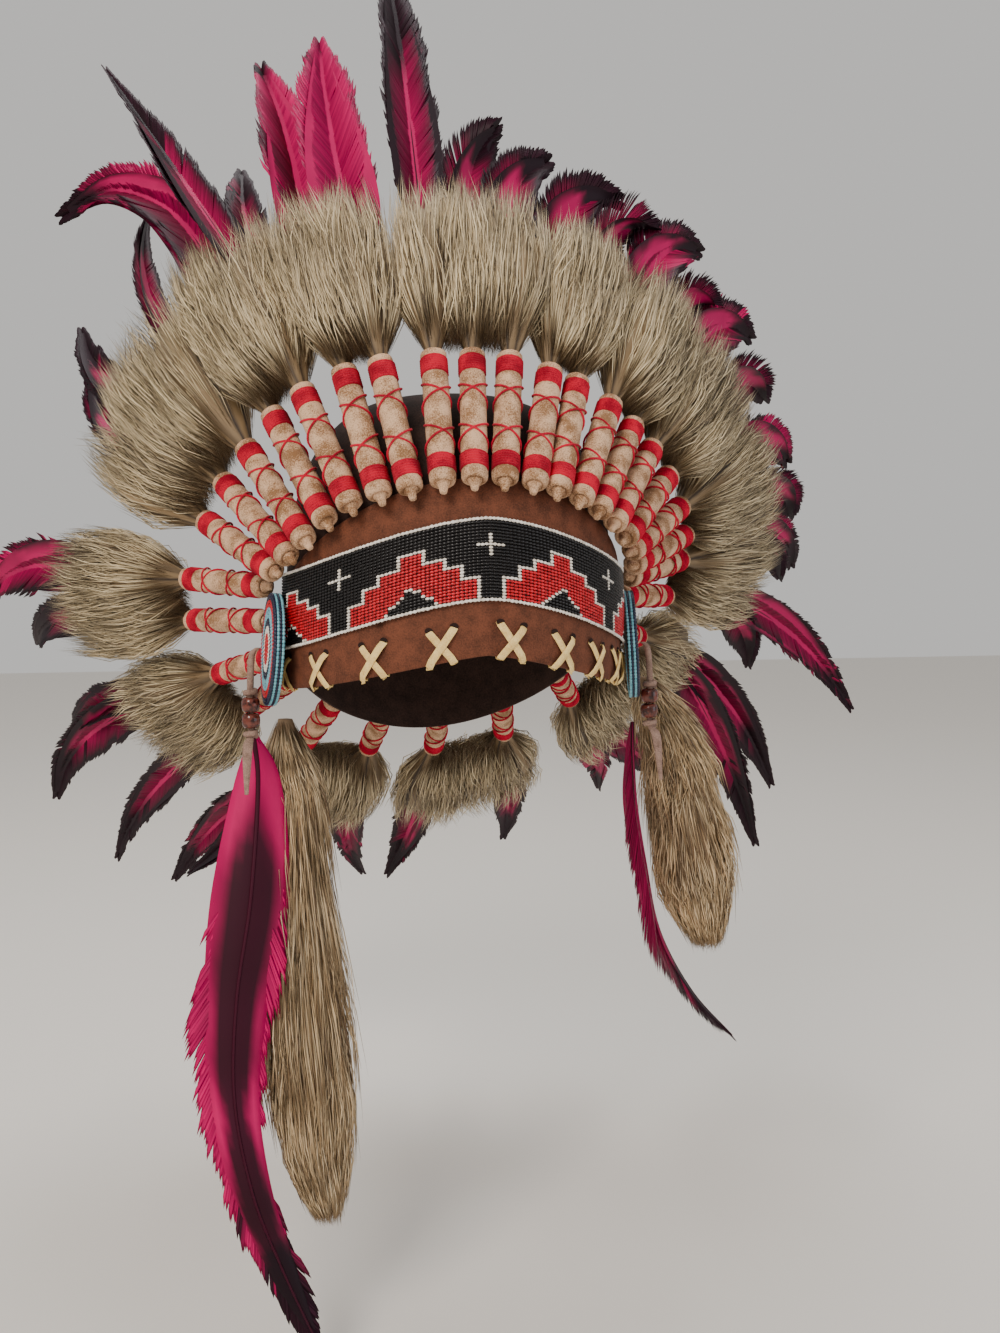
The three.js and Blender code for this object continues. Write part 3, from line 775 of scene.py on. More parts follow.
def tube_rings(centres: np.ndarray, u: np.ndarray, v: np.ndarray, sides: int) -> Part:
    """A closed tube through rings.

    Args:
        centres: the rings' middles, N by 3.
        u, v: the rings' half axes with their lengths, N by 3 each.
        sides: corners of each ring.

    Returns:
        Its points and faces.
    """
    angle = np.arange(sides) * 2 * math.pi / sides
    x, y = np.cos(angle)[None, :, None], np.sin(angle)[None, :, None]
    points = centres[:, None] + u[:, None] * x + v[:, None] * y
    return points.reshape(-1, 3), ring_faces(len(centres), sides)


@dataclass
class Gathered:
    """Closed bodies gathered for one mesh, each with its material's number and the UV of its points."""

    points: list = field(default_factory=list)
    faces: list = field(default_factory=list)
    kinds: list = field(default_factory=list)
    uvs: list = field(default_factory=list)
    count: int = 0

    def take(self, part: Part, kind: int = 0, uv: tuple | np.ndarray = (0.0, 0.0)) -> None:
        """Takes a closed body.

        Args:
            part: its points and faces.
            kind: its material's number.
            uv: the UV of all its points, or one for each.
        """
        points, faces = part
        self.points.append(points)
        self.faces.extend(tuple(i + self.count for i in face) for face in faces)
        self.kinds.extend([kind] * len(faces))
        self.uvs.append(np.broadcast_to(uv, (len(points), 2)))
        self.count += len(points)

    def build(self, name: str, materials: list, angle: float, uv_name: str = "") -> bpy.types.Object:
        """Builds the piece.

        Args:
            name: its name.
            materials: its materials, in slot order.
            angle: shading angle in degrees.
            uv_name: name of its UV map, if it has one.

        Returns:
            The new object.
        """
        mesh = bpy.data.meshes.new(name)
        mesh.from_pydata((np.concatenate(self.points) * MM).tolist(), [], self.faces)
        mesh.validate()
        piece = add_piece(mesh, materials)
        if len(materials) > 1:
            mesh.polygons.foreach_set("material_index", np.array(self.kinds, np.int32))
        if uv_name:
            corners = np.empty(len(mesh.loops), np.int32)
            mesh.loops.foreach_get("vertex_index", corners)
            layer = mesh.uv_layers.new(name=uv_name)
            layer.data.foreach_set("uv", np.concatenate(self.uvs)[corners].astype(np.float32).ravel())
        face_out(piece)
        shade_smooth(piece, angle)
        return piece


@dataclass
class Spines:
    """Many tapered closed spines in one mesh, such as hairs or the barbs of a feather."""

    arrays: list = field(default_factory=list)

    def add(
        self,
        root: np.ndarray,
        middle: np.ndarray,
        tip: np.ndarray,
        wide: np.ndarray,
        deep: np.ndarray,
        uvs: np.ndarray,
    ) -> None:
        """Adds spines.

        Args:
            root, middle, tip: places, N by 3, in millimetres.
            wide, deep: half width and height vectors of the section, N by 3.
            uvs: texture coordinates at the root, middle and tip, N by 3 by 2.
        """
        self.arrays.append((root, middle, tip, wide, deep, uvs))

    def build(
        self, name: str, uv_name: str, material: bpy.types.Material, pointed: bool = False
    ) -> bpy.types.Object:
        """Builds the piece.

        Args:
            name: the piece's name.
            uv_name: name of its UV map.
            material: its material.
            pointed: whether each spine starts in a point too, as a hair does, and is widest at its middle.

        Returns:
            The new object.
        """
        root, middle, tip, wide, deep, uvs = (np.concatenate(column) for column in zip(*self.arrays))
        count = len(root)
        ring = [wide * a + deep * b for a, b in ((-1.0, -0.5), (1.0, -0.5), (0.0, 1.0))]
        if pointed:
            points = np.stack([root, *(middle + r for r in ring), tip], axis=1)
            level = [0, 1, 1, 1, 2]
            faces = [(0, 2, 1), (0, 3, 2), (0, 1, 3), (1, 2, 4), (2, 3, 4), (3, 1, 4)]
        else:
            points = np.stack([*(root + r for r in ring), *(middle + r for r in ring), tip], axis=1)
            level = [0, 0, 0, 1, 1, 1, 2]
            faces = [(0, 1, 4, 3), (1, 2, 5, 4), (2, 0, 3, 5), (0, 2, 1), (3, 4, 6), (4, 5, 6), (5, 3, 6)]
        turned = np.einsum("ij,ij->i", np.cross(wide, deep), tip - root) < 0
        straight = np.array([i for face in faces for i in face])
        flipped = np.array([i for face in faces for i in face[::-1]])
        loops = np.where(turned[:, None], flipped, straight) + (np.arange(count) * len(level))[:, None]
        sizes = np.tile([len(face) for face in faces], count)
        mesh = bpy.data.meshes.new(name)
        mesh.vertices.add(count * len(level))
        mesh.vertices.foreach_set("co", (points * MM).astype(np.float32).ravel())
        mesh.loops.add(loops.size)
        mesh.loops.foreach_set("vertex_index", loops.astype(np.int32).ravel())
        mesh.polygons.add(len(sizes))
        mesh.polygons.foreach_set("loop_start", (np.cumsum(sizes) - sizes).astype(np.int32))
        mesh.polygons.foreach_set("use_smooth", np.ones(len(sizes), bool))
        mesh.update(calc_edges=True)
        corners = uvs[:, level].reshape(-1, 2)[loops.ravel()]
        mesh.uv_layers.new(name=uv_name).data.foreach_set("uv", corners.astype(np.float32).ravel())
        return add_piece(mesh, [material])


def rows_of(vectors: list[Vector]) -> np.ndarray:
    """An N by 3 array of vectors."""
    return np.array([tuple(v) for v in vectors], float)


def unit(vectors: np.ndarray) -> np.ndarray:
    """Each row scaled to length one."""
    return vectors / np.maximum(np.linalg.norm(vectors, axis=-1, keepdims=True), 1e-9)


def square_to(vectors: np.ndarray, way: np.ndarray) -> np.ndarray:
    """Each row's unit vector square to a way."""
    return unit(vectors - way * np.sum(vectors * way, axis=1)[:, None])


def smooth_step(value: np.ndarray, low: float, high: float) -> np.ndarray:
    """Goes from 0 at low to 1 at high with a soft start and end."""
    share = np.clip((value - low) / (high - low), 0, 1)
    return share * share * (3 - 2 * share)


def spline(points: np.ndarray, shares: np.ndarray) -> np.ndarray:
    """A smooth curve through points, at shares from 0 to 1 of their count."""
    padded = np.vstack([2 * points[0] - points[1], points, 2 * points[-1] - points[-2]])
    place = np.clip(shares, 0, 1) * (len(points) - 1)
    k = np.minimum(place.astype(int), len(points) - 2)
    t = (place - k)[:, None]
    p0, p1, p2, p3 = (padded[k + i] for i in range(4))
    second, third = 2 * p0 - 5 * p1 + 4 * p2 - p3, 3 * p1 - p0 - 3 * p2 + p3
    return 0.5 * (2 * p1 + (p2 - p0) * t + second * t**2 + third * t**3)


def bead_shape(length: float, radius: float) -> Part:
    """One small barrel bead along its first axis, closed, with six sides."""
    profile = np.array(((-0.5, 0.56), (0.0, 1.0), (0.5, 0.56)))
    zero, size = np.zeros(3), profile[:, 1] * radius
    centres = np.column_stack([profile[:, 0] * length, zero, zero])
    return tube_rings(centres, np.column_stack([zero, size, zero]), np.column_stack([zero, zero, size]), 6)


# ---- Leather -------------------------------------------------------------------------------------------


@dataclass(frozen=True)
class Crease:
    """A crease in the brow band: its place in degrees, top and bottom heights, width and depth."""

    at: float
    top: float
    bottom: float
    width: float
    depth: float


@dataclass
class Leatherwork:
    """The skullcap, the brow band and the lacing of its edge."""

    palette: Palette
    cap_overlap: float = 14.0
    cap_bunching: float = 2.2
    cap_ripple: float = 0.25
    cap_ripples: int = 9
    cap_edge: float = 0.4
    band_above_rim: float = 2.0
    band_wave: float = 0.25
    band_edge: float = 0.5
    crossings: tuple[float, ...] = (-77, -56, -35, -14, 7, 25, 41, 56, 70)
    lace_width: float = 3.6
    lace_thick: float = 0.95
    lace_rise: float = 15.0
    lace_spread: float = 13.0
    lace_layers: tuple[float, float] = (0.35, 1.15)
    lace_bow: float = 0.5
    run_width: float = 3.2
    run_thick: float = 0.7
    run_past: float = 6.0
    run_steps: int = 60
    hem: float = 5.0
    crease_fades: tuple[float, float] = (8.0, 2.0)
    creases: tuple[Crease, ...] = (
        Crease(-33.0, -103.0, -118.0, 2.4, 2.2),
        Crease(2.0, -100.0, -127.0, 3.4, 1.4),
        Crease(46.0, -118.0, -138.0, 3.0, 0.7),
        Crease(-60.0, -122.0, -140.0, 3.0, 0.7),
    )

    def build(self) -> None:
        """Makes the three pieces."""
        settle(self.cap(), "cap")
        settle(self.band(), "brow_band")
        settle(self.lacing(), "edge_lacing")

    def cap(self) -> bpy.types.Object:
        """The skullcap: a sphere opened below, drawn down over the head and given its wall."""
        bpy.ops.mesh.primitive_uv_sphere_add(segments=96, ring_count=48, radius=1.0)
        piece = bpy.context.active_object
        piece.name = "cap_leather_shell"
        bpy.ops.object.mode_set(mode="EDIT")
        bpy.ops.mesh.select_all(action="SELECT")
        bpy.ops.mesh.bisect(plane_co=(0, 0, 0.001), plane_no=(0, 0, 1), clear_inner=True)
        bpy.ops.object.mode_set(mode="OBJECT")
        middle = CAP_WALL / 2
        for vertex in piece.data.vertices:
            share = min(1.0, math.acos(max(-1.0, min(1.0, vertex.co.z))) / (math.pi / 2))
            angle = math.atan2(vertex.co.x, -vertex.co.y)
            rim = rim_height(angle) - self.cap_overlap
            z = middle + (rim - middle) * share**self.cap_bunching
            ripple = self.cap_ripple * math.sin(self.cap_ripples * angle) * share**3
            vertex.co = head_point(angle, z, middle + ripple) * MM
        thicken(piece, CAP_WALL, WALL_CENTRED, self.cap_edge)
        piece.data.materials.append(self.palette.cap)
        shade_smooth(piece, SHARP_DEGREES)
        return piece

    def band(self) -> bpy.types.Object:
        """The brow band: a grid bent round the head, creased and wavy, with a wall and cut edges."""
        piece = head_grid("brow_band_leather", 160, 18, self.band_point)
        thicken(piece, BAND_OUTSIDE - BAND_INSIDE, WALL_INWARD, self.band_edge)
        piece.data.materials.append(self.palette.band)
        face_out(piece)
        shade_smooth(piece, SHARP_DEGREES)
        return piece

    def band_point(self, x: float, y: float) -> Vector:
        """A point of the band's outer face, for places from -1 to 1 along and up it."""
        angle = math.radians(BAND_REACH * x)
        top = rim_height(angle) + self.band_above_rim
        bottom = band_bottom(angle)
        share = (y + 1) / 2
        z = bottom + (top - bottom) * share
        # A slow wave that doesn't repeat round the head.
        wave = self.band_wave * math.sin(5.3 * angle + 1.0) * math.sin(3.1 * share + 0.7)
        return head_point(angle, z, BAND_OUTSIDE + wave - self.crease_depth(math.degrees(angle), z))

    def crease_depth(self, degrees: float, z: float) -> float:
        """How deep the creases lie at a place on the band, in millimetres."""
        depth = 0.0
        low_fade, high_fade = self.crease_fades
        for crease in self.creases:
            across = (degrees - crease.at) * math.radians(1) * HEAD.half_depth / crease.width
            if crease.bottom < z < crease.top:
                fade = min(1.0, (z - crease.bottom) / low_fade, (crease.top - z) / high_fade)
                depth += crease.depth * fade * math.exp(-across * across)
        return depth

    def lace_route(self, crossing: float, side: int) -> list[Vector]:
        """One leg of a crossing, from its hole down over the band's edge and up inside."""
        half = self.lace_spread / 2 / HEAD.half_depth
        start = math.radians(crossing) - side * half
        end = math.radians(crossing) + side * half
        # One leg of each cross lies over the other.
        layer = self.lace_layers[0 if side > 0 else 1]
        out = BAND_OUTSIDE + self.lace_thick / 2 + layer
        inner = BAND_INSIDE - self.lace_thick / 2 - 0.5
        top = band_bottom(start) + self.lace_rise
        low = band_bottom(end)
        route = [head_point(start, top + 0.8, BAND_OUTSIDE - 1.2), head_point(start, top, BAND_OUTSIDE + 0.5)]
        for share in (0.12, 0.3, 0.5, 0.7, 0.88):
            bow = out + self.lace_bow * math.sin(math.pi * share)
            route.append(head_point(start + (end - start) * share, top + (low - top) * share, bow))
        round_edge = (
            (-0.9, BAND_OUTSIDE - 0.2),
            (-1.2, (BAND_OUTSIDE + BAND_INSIDE) / 2),
            (-0.7, BAND_INSIDE),
            (2.0, inner),
            (self.hem, inner),
        )
        return route + [head_point(end, low + rise, off) for rise, off in round_edge]

    @staticmethod
    def strap(route: list[Vector], width: float, thick: float) -> Part:
        """A soft flat strap along a route, its broad side to the head."""
        wide, deep = [], []
        for k, point in enumerate(route):
            way = (route[min(k + 1, len(route) - 1)] - route[max(k - 1, 0)]).normalized()
            across = way.cross(head_normal(point)).normalized()
            wide.append(across * width / 2)
            deep.append(across.cross(way).normalized() * -thick / 2)
        return tube_rings(rows_of(route), rows_of(wide), rows_of(deep), 8)

    def lacing(self) -> bpy.types.Object:
        """All the lacing: crossed legs outside, a run inside the hem, and painted shade in the punched holes.
        """
        gathered = Gathered()
        first = math.radians(self.crossings[0] - self.run_past)
        last = math.radians(self.crossings[-1] + self.run_past)
        run = []
        for k in range(self.run_steps + 1):
            angle = first + (last - first) * k / self.run_steps
            run.append(head_point(angle, band_bottom(angle) + self.hem - 1.7, BAND_INSIDE - 1.0))
        gathered.take(self.strap(run, self.run_width, self.run_thick))
        for crossing in self.crossings:
            for side in (1, -1):
                route = self.lace_route(crossing, side)
                gathered.take(self.strap(route, self.lace_width, self.lace_thick))
                # Painted shade of the hole where this leg goes in.
                gathered.take(self.hole(route[1]), 1)
        return gathered.build("edge_lacing_thong", [self.palette.lace, self.palette.hole], 40)

    @staticmethod
    def hole(at: Vector) -> Part:
        """A dark body on the band as painted shade in a punched hole, just above the lace where it goes in.
        """
        normal = head_normal(at)
        side = Vector((0, 0, 1)).cross(normal).normalized()
        centre = at + Vector((0, 0, 0.9)) - normal * 0.45
        rings = ((0.0, 0.6), (0.35, 1.0), (0.6, 0.7))
        centres = rows_of([centre + normal * h for h, _ in rings])
        u = rows_of([side * 2.0 * r for _, r in rings])
        v = rows_of([Vector((0, 0, 1)) * 1.5 * r for _, r in rings])
        return tube_rings(centres, u, v, 12)


# ---- Beadwork ------------------------------------------------------------------------------------------


class Colour(Enum):
    """Glass colours of the loomed strip."""

    BLACK = 0
    RED = 1
    WHITE = 2


@dataclass
class LoomedStrip:
    """The beaded strip: rows of glass beads on a warp, charted by a few counts of beads.

    Stepped mountains stand on the lower border between small crosses, each repeat as wide as the others.
    """

    palette: Palette
    rows: int = 26
    columns: int = 128
    reach: float = 79.0
    half_height: float = 19.0
    surface: float = 6.55
    repeat: float = 38.0
    steps: tuple[tuple[float, int], ...] = ((16.5, 7), (12.5, 11), (8.5, 14), (3.5, 18))
    notch: int = 7
    cross_row: int = 17
    cross_arm: int = 3
    half_line: float = 0.6
    bead_fill: tuple[float, float] = (0.9, 0.52)
    border_rise: float = 0.25
    border_size: float = 1.12
    tilt_drift: float = 0.06
    size_drift: float = 0.03
    place_drift: float = 0.05
    warp_wall: float = 0.7
    warp_sunk: float = 0.2

    def colour(self, column: int, row: int) -> Colour:
        """The bead at a column from the strip's right end and a row from its lower border."""
        if row in (0, self.rows - 1):
            return Colour.WHITE
        place = ((column - self.columns // 2) / self.repeat) % 1.0
        from_mountain = abs(place - 0.5) * self.repeat
        from_cross = min(place, 1 - place) * self.repeat
        if from_cross < self.cross_arm + self.half_line and row == self.cross_row:
            return Colour.WHITE
        if from_cross < self.half_line and abs(row - self.cross_row) <= self.cross_arm:
            return Colour.WHITE
        peak = self.notch - from_mountain
        if not self.in_mountain(from_mountain, row) or row < peak:
            return Colour.BLACK
        # A white line follows the notch below and the mountain's steps above.
        beside = ((1, 0), (0, 1), (1, 1))
        inner = all(self.in_mountain(from_mountain + out, row + up) for out, up in beside)
        return Colour.RED if inner and row >= peak + 1 else Colour.WHITE

    def in_mountain(self, from_middle: float, row: int) -> bool:
        """Whether a bead lies in the stepped mountain."""
        return any(from_middle < half and row <= height for half, height in self.steps)

    def bead_frame(self, angle: float, z: float, off: float, step: float) -> tuple[Vector, ...]:
        """A bead's place and its axes along its row, up and out."""
        point = head_point(angle, z, off)
        ahead = head_point(angle + step, strip_middle(angle + step) + z - strip_middle(angle), self.surface)
        way = (ahead - point).normalized()
        up = head_normal(point).cross(way).normalized()
        return point, way, up, way.cross(up)

    def build(self) -> None:
        """Makes the beads and the dark woven warp that they sit on."""
        rng = np.random.default_rng(SEED)
        step = 2 * self.reach / self.columns
        height = 2 * self.half_height / self.rows
        arc = math.radians(step) * (HEAD.half_width + HEAD.half_depth) / 2
        shape, faces = bead_shape(arc * self.bead_fill[0], height * self.bead_fill[1])
        gathered = Gathered()
        for column in range(self.columns):
            angle = math.radians(-self.reach + step * (column + 0.5))
            for row in range(self.rows):
                border = row in (0, self.rows - 1)
                z = strip_middle(angle) - self.half_height + height * (row + 0.5)
                off = self.surface + (self.border_rise if border else 0.0)
                point, way, up, out = self.bead_frame(angle, z, off, math.radians(step))
                tilt = rng.normal(0, self.tilt_drift)
                size = (self.border_size if border else 1.0) * (1 + rng.normal(0, self.size_drift))
                axes = rows_of([way + up * tilt, up - way * tilt, out])
                place = np.array(point) + rng.normal(0, self.place_drift, 3)
                gathered.take((place + (shape * size) @ axes, faces), self.colour(column, row).value)
        glass = [self.palette.black_bead, self.palette.red_bead, self.palette.white_bead]
        settle(gathered.build("loomed_beads", glass, 60), "bead_strip")
        warp = head_grid("loomed_warp", 120, 8, self.warp_point)
        thicken(warp, self.warp_wall, WALL_INWARD, 0.15)
        warp.data.materials.append(self.palette.warp)
        face_out(warp)
        shade_smooth(warp, SHARP_DEGREES)
        settle(warp, "bead_strip")

    def warp_point(self, x: float, y: float) -> Vector:
        """A point of the warp's outer face, for places from -1 to 1 along and up it."""
        angle = math.radians(self.reach * x)
        z = strip_middle(angle) + (self.half_height - 0.4) * y
        return head_point(angle, z, self.surface - self.warp_sunk)


@dataclass
class Rosette:
    """A beaded rosette over the ear: rings of seed beads on a leather disc, with a rolled beaded rim."""

    palette: Palette
    place: str
    side: int
    off: float
    turn: float
    radius: float = 28.0
    rim: float = 5.0
    ring: float = 80.0
    height: float = -127.0
    tilt: float = 4.0
    disc_sides: int = 64
    bead_radius: float = 0.95
    bead_pitch: float = 1.95
    rim_rows: range = range(-2, 2)
    rim_pitch: float = 1.25
    rings: tuple[tuple[int, int], ...] = ((1, 1), (2, 2), (3, 0), (2, 1), (2, 3), (3, 2))
    profile: Pairs = (
        (-0.48, 0.955),
        (-0.42, 0.975),
        (0.0, 0.985),
        (0.3, 0.965),
        (0.32, 0.8),
        (0.42, 0.4),
        (0.46, 0.02),
    )

    def build(self) -> None:
        """Makes the disc and its beads."""
        turn, tilt = math.radians(self.turn), math.radians(self.tilt)
        axis = Vector((self.side * math.cos(turn), -math.sin(turn), math.tan(tilt))).normalized()
        middle = head_point(self.side * math.radians(self.ring), self.height, self.off)
        u = Vector((0, 0, 1)).cross(axis).normalized()
        v = axis.cross(u)
        centres = rows_of([middle + axis * (h * self.rim) for h, _ in self.profile])
        wide = rows_of([u * (self.radius * r) for _, r in self.profile])
        deep = rows_of([v * (self.radius * r) for _, r in self.profile])
        node = f"rosette_{self.place}"
        disc = Gathered()
        disc.take(tube_rings(centres, wide, deep, self.disc_sides))
        settle(disc.build(f"{node}_disc", [self.palette.cap], 40), node)
        settle(self.beads(middle, axis, u, v), node)

    def circles(self) -> list[tuple[float, float, int]]:
        """Radius, height and colour of each ring of beads, first the rim's rows and then the face's."""
        circles = [(self.radius - 0.5, row * self.rim_pitch + 0.3, abs(row) % 2) for row in self.rim_rows]
        pitch = self.bead_radius * self.bead_pitch
        radius = self.radius - 2.2
        for kind in [kind for count, kind in self.rings for _ in range(count)]:
            if radius < pitch:
                break
            circles.append((radius, self.rim * (0.36 + 0.12 * (1 - radius / self.radius)), kind))
            radius -= pitch
        return circles

    def beads(self, middle: Vector, axis: Vector, u: Vector, v: Vector) -> bpy.types.Object:
        """All beads of the rosette, each along its ring."""
        palette = self.palette
        glass = [palette.turquoise_bead, palette.navy_bead, palette.red_bead, palette.white_bead]
        shape, faces = bead_shape(self.bead_radius * 1.9, self.bead_radius)
        gathered = Gathered()
        for radius, height, kind in self.circles():
            number = max(1, round(2 * math.pi * radius / (self.bead_radius * 2.05)))
            for i in range(number):
                angle = 2 * math.pi * i / number
                out = u * math.cos(angle) + v * math.sin(angle)
                way = v * math.cos(angle) - u * math.sin(angle)
                centre = middle + out * radius + axis * height
                gathered.take((np.array(centre) + shape @ rows_of([way, out, axis]), faces), kind)
        return gathered.build(f"rosette_{self.place}_beads", glass, 60)


# ---- Quills, fur and feathers --------------------------------------------------------------------------


@dataclass
class QuillWrap:
    """A felt-wrapped quill with red thread wound at both ends and crossed between them.

    A ring is a distance along the quill and a radius; on the sleeve, the radius counts from the felt's own.
    """

    palette: Palette
    number: int
    quill: Quill
    felt_radius: float = 6.15
    overlap: float = 0.45
    thread_radius: float = 0.55
    thread_over: float = 0.25
    seam_drift: float = 0.25
    winding_pitch: float = 1.35
    winding_sunk: float = 0.9
    winding_ridge: float = 0.55
    windings: Pairs = ((5.5, 13.5), (57.5, 66.5))
    cross_turns: float = 2.0
    cross_steps: int = 45
    sides: int = 16
    nub: Pairs = ((-5.0, 0.9), (-4.6, 1.6), (-3.0, 2.0), (-1.2, 2.2), (-0.5, 2.9))
    rolled: Pairs = ((0.1, 3.4), (0.9, 3.5), (0.2, 4.2), (0.1, 5.0), (0.7, 5.8))
    sleeve: Pairs = (
        (1.8, 0.0),
        (4.5, 0.1),
        (6.0, -0.5),
        (13.0, -0.5),
        (15.0, 0.1),
        (35.0, 0.05),
        (56.0, 0.1),
        (58.0, -0.5),
        (66.0, -0.5),
        (67.5, 0.1),
        (69.3, 0.0),
        (69.9, -0.7),
    )
    outer_end: Pairs = ((69.4, 4.6), (68.8, 2.0))

    def place(self, radius: np.ndarray, angle: np.ndarray, along: np.ndarray) -> np.ndarray:
        """Points round the quill from its own radius, angle and distance."""
        axes = quill_axes(self.quill)
        root = np.array(quill_root(self.quill))
        side, back, way = np.array(axes.side), np.array(axes.back), np.array(axes.along)
        flat = (np.cos(angle) * radius)[..., None] * side + (np.sin(angle) * radius)[..., None] * back
        return root + flat + along[..., None] * way

    def rings(self, profile: list[tuple[float, float]], spiral: float, start: float) -> Part:
        """A closed body of rings.

        Args:
            profile: distance along the quill and radius of each ring.
            spiral: how much the radius grows over one turn, which leaves the felt's overlapped edge.
            start: angle of that edge.

        Returns:
            Its points and faces.
        """
        turns = np.arange(self.sides) / self.sides
        points = []
        for along, radius in profile:
            grown = radius * (1 + (turns - 0.5) * spiral / self.felt_radius)
            points.append(self.place(grown, start + turns * 2 * math.pi, np.full(self.sides, along)))
        return np.concatenate(points), ring_faces(len(profile), self.sides)

    def felt(self, start: float) -> Part:
        """The rolled felt, pinched under the thread, with a rolled inner end and its nub."""
        sleeve = [(along, self.felt_radius + more) for along, more in self.sleeve]
        return self.rings([*self.nub, *self.rolled, *sleeve, *self.outer_end], self.overlap, start)

    def winding(self, low: float, high: float) -> Part:
        """Thread wound side by side, as a closed sleeve with a ridge for each turn."""
        turns = round((high - low) / self.winding_pitch)
        pitch = (high - low) / turns
        r = self.felt_radius
        profile = [(low, r - self.winding_sunk)]
        for k in range(turns):
            base = low + (high - low) * k / turns
            profile += [(base + 0.08 * pitch, r), (base + 0.5 * pitch, r + self.winding_ridge)]
            profile.append((base + 0.92 * pitch, r))
        profile.append((high, r - self.winding_sunk))
        return self.rings(profile, 0.0, 0.3)

    def crossing(self, way: int, start: float) -> Part:
        """One thread that runs round the quill from one winding to the other."""
        share = np.linspace(0, 1, self.cross_steps)
        low, high = self.windings[0][1], self.windings[1][0]
        angle = start + way * share * self.cross_turns * 2 * math.pi
        along = low + (high - low) * share
        # One thread runs over the other.
        radius = np.full(self.cross_steps, self.felt_radius + 0.35 + (self.thread_over if way > 0 else 0.0))
        centres = self.place(radius, angle, along)
        outer = self.place(radius + 1, angle, along) - centres
        wide = unit(np.cross(unit(np.gradient(centres, axis=0)), outer)) * self.thread_radius
        return tube_rings(centres, outer * self.thread_radius, wide, 5)

    def build(self, rng: np.random.Generator) -> None:
        """Makes the quill's felt and thread as one piece."""
        node = f"stick_{self.number:02d}"
        gathered = Gathered()
        gathered.take(self.felt(rng.uniform(0, 2 * math.pi)))
        for low, high in self.windings:
            gathered.take(self.winding(low, high), 1)
        # The threads start at the back of the quill, so that they cross twice on its front.
        start = math.pi / 2 + rng.normal(0, self.seam_drift)
        for way in (1, -1):
            gathered.take(self.crossing(way, start), 1)
        wrap = gathered.build(f"{node}_wrap", [self.palette.felt, self.palette.thread], 55)
        settle(wrap, node)


def add_hairs(
    spines: Spines,
    places: tuple[np.ndarray, np.ndarray, np.ndarray],
    tone: np.ndarray,
    rng: np.random.Generator,
    half_width: float,
) -> None:
    """Adds hairs to a set of spines.

    Args:
        spines: the set.
        places: root, middle and tip of each hair.
        tone: the wisp's tone from 0 to 1.
        rng: the source of each hair's own drift.
        half_width: half of a hair's width at its middle.
    """
    root, middle, tip = places
    count = len(root)
    way = unit(tip - root)
    across = unit(np.cross(way, rng.normal(0, 1, (count, 3))))
    deep = np.cross(way, across)
    width = half_width * rng.uniform(0.7, 1.25, count)[:, None]
    uvs = np.empty((count, 3, 2))
    uvs[:, :, 0] = np.clip(0.5 * tone + 0.5 * rng.uniform(0, 1, count), 0, 1)[:, None]
    uvs[:, :, 1] = np.array([0.02, 0.55, 1.0])[None] + rng.normal(0, 0.05, (count, 1))
    spines.add(root, middle, tip, across * width, deep * width, np.clip(uvs, 0.01, 0.99))


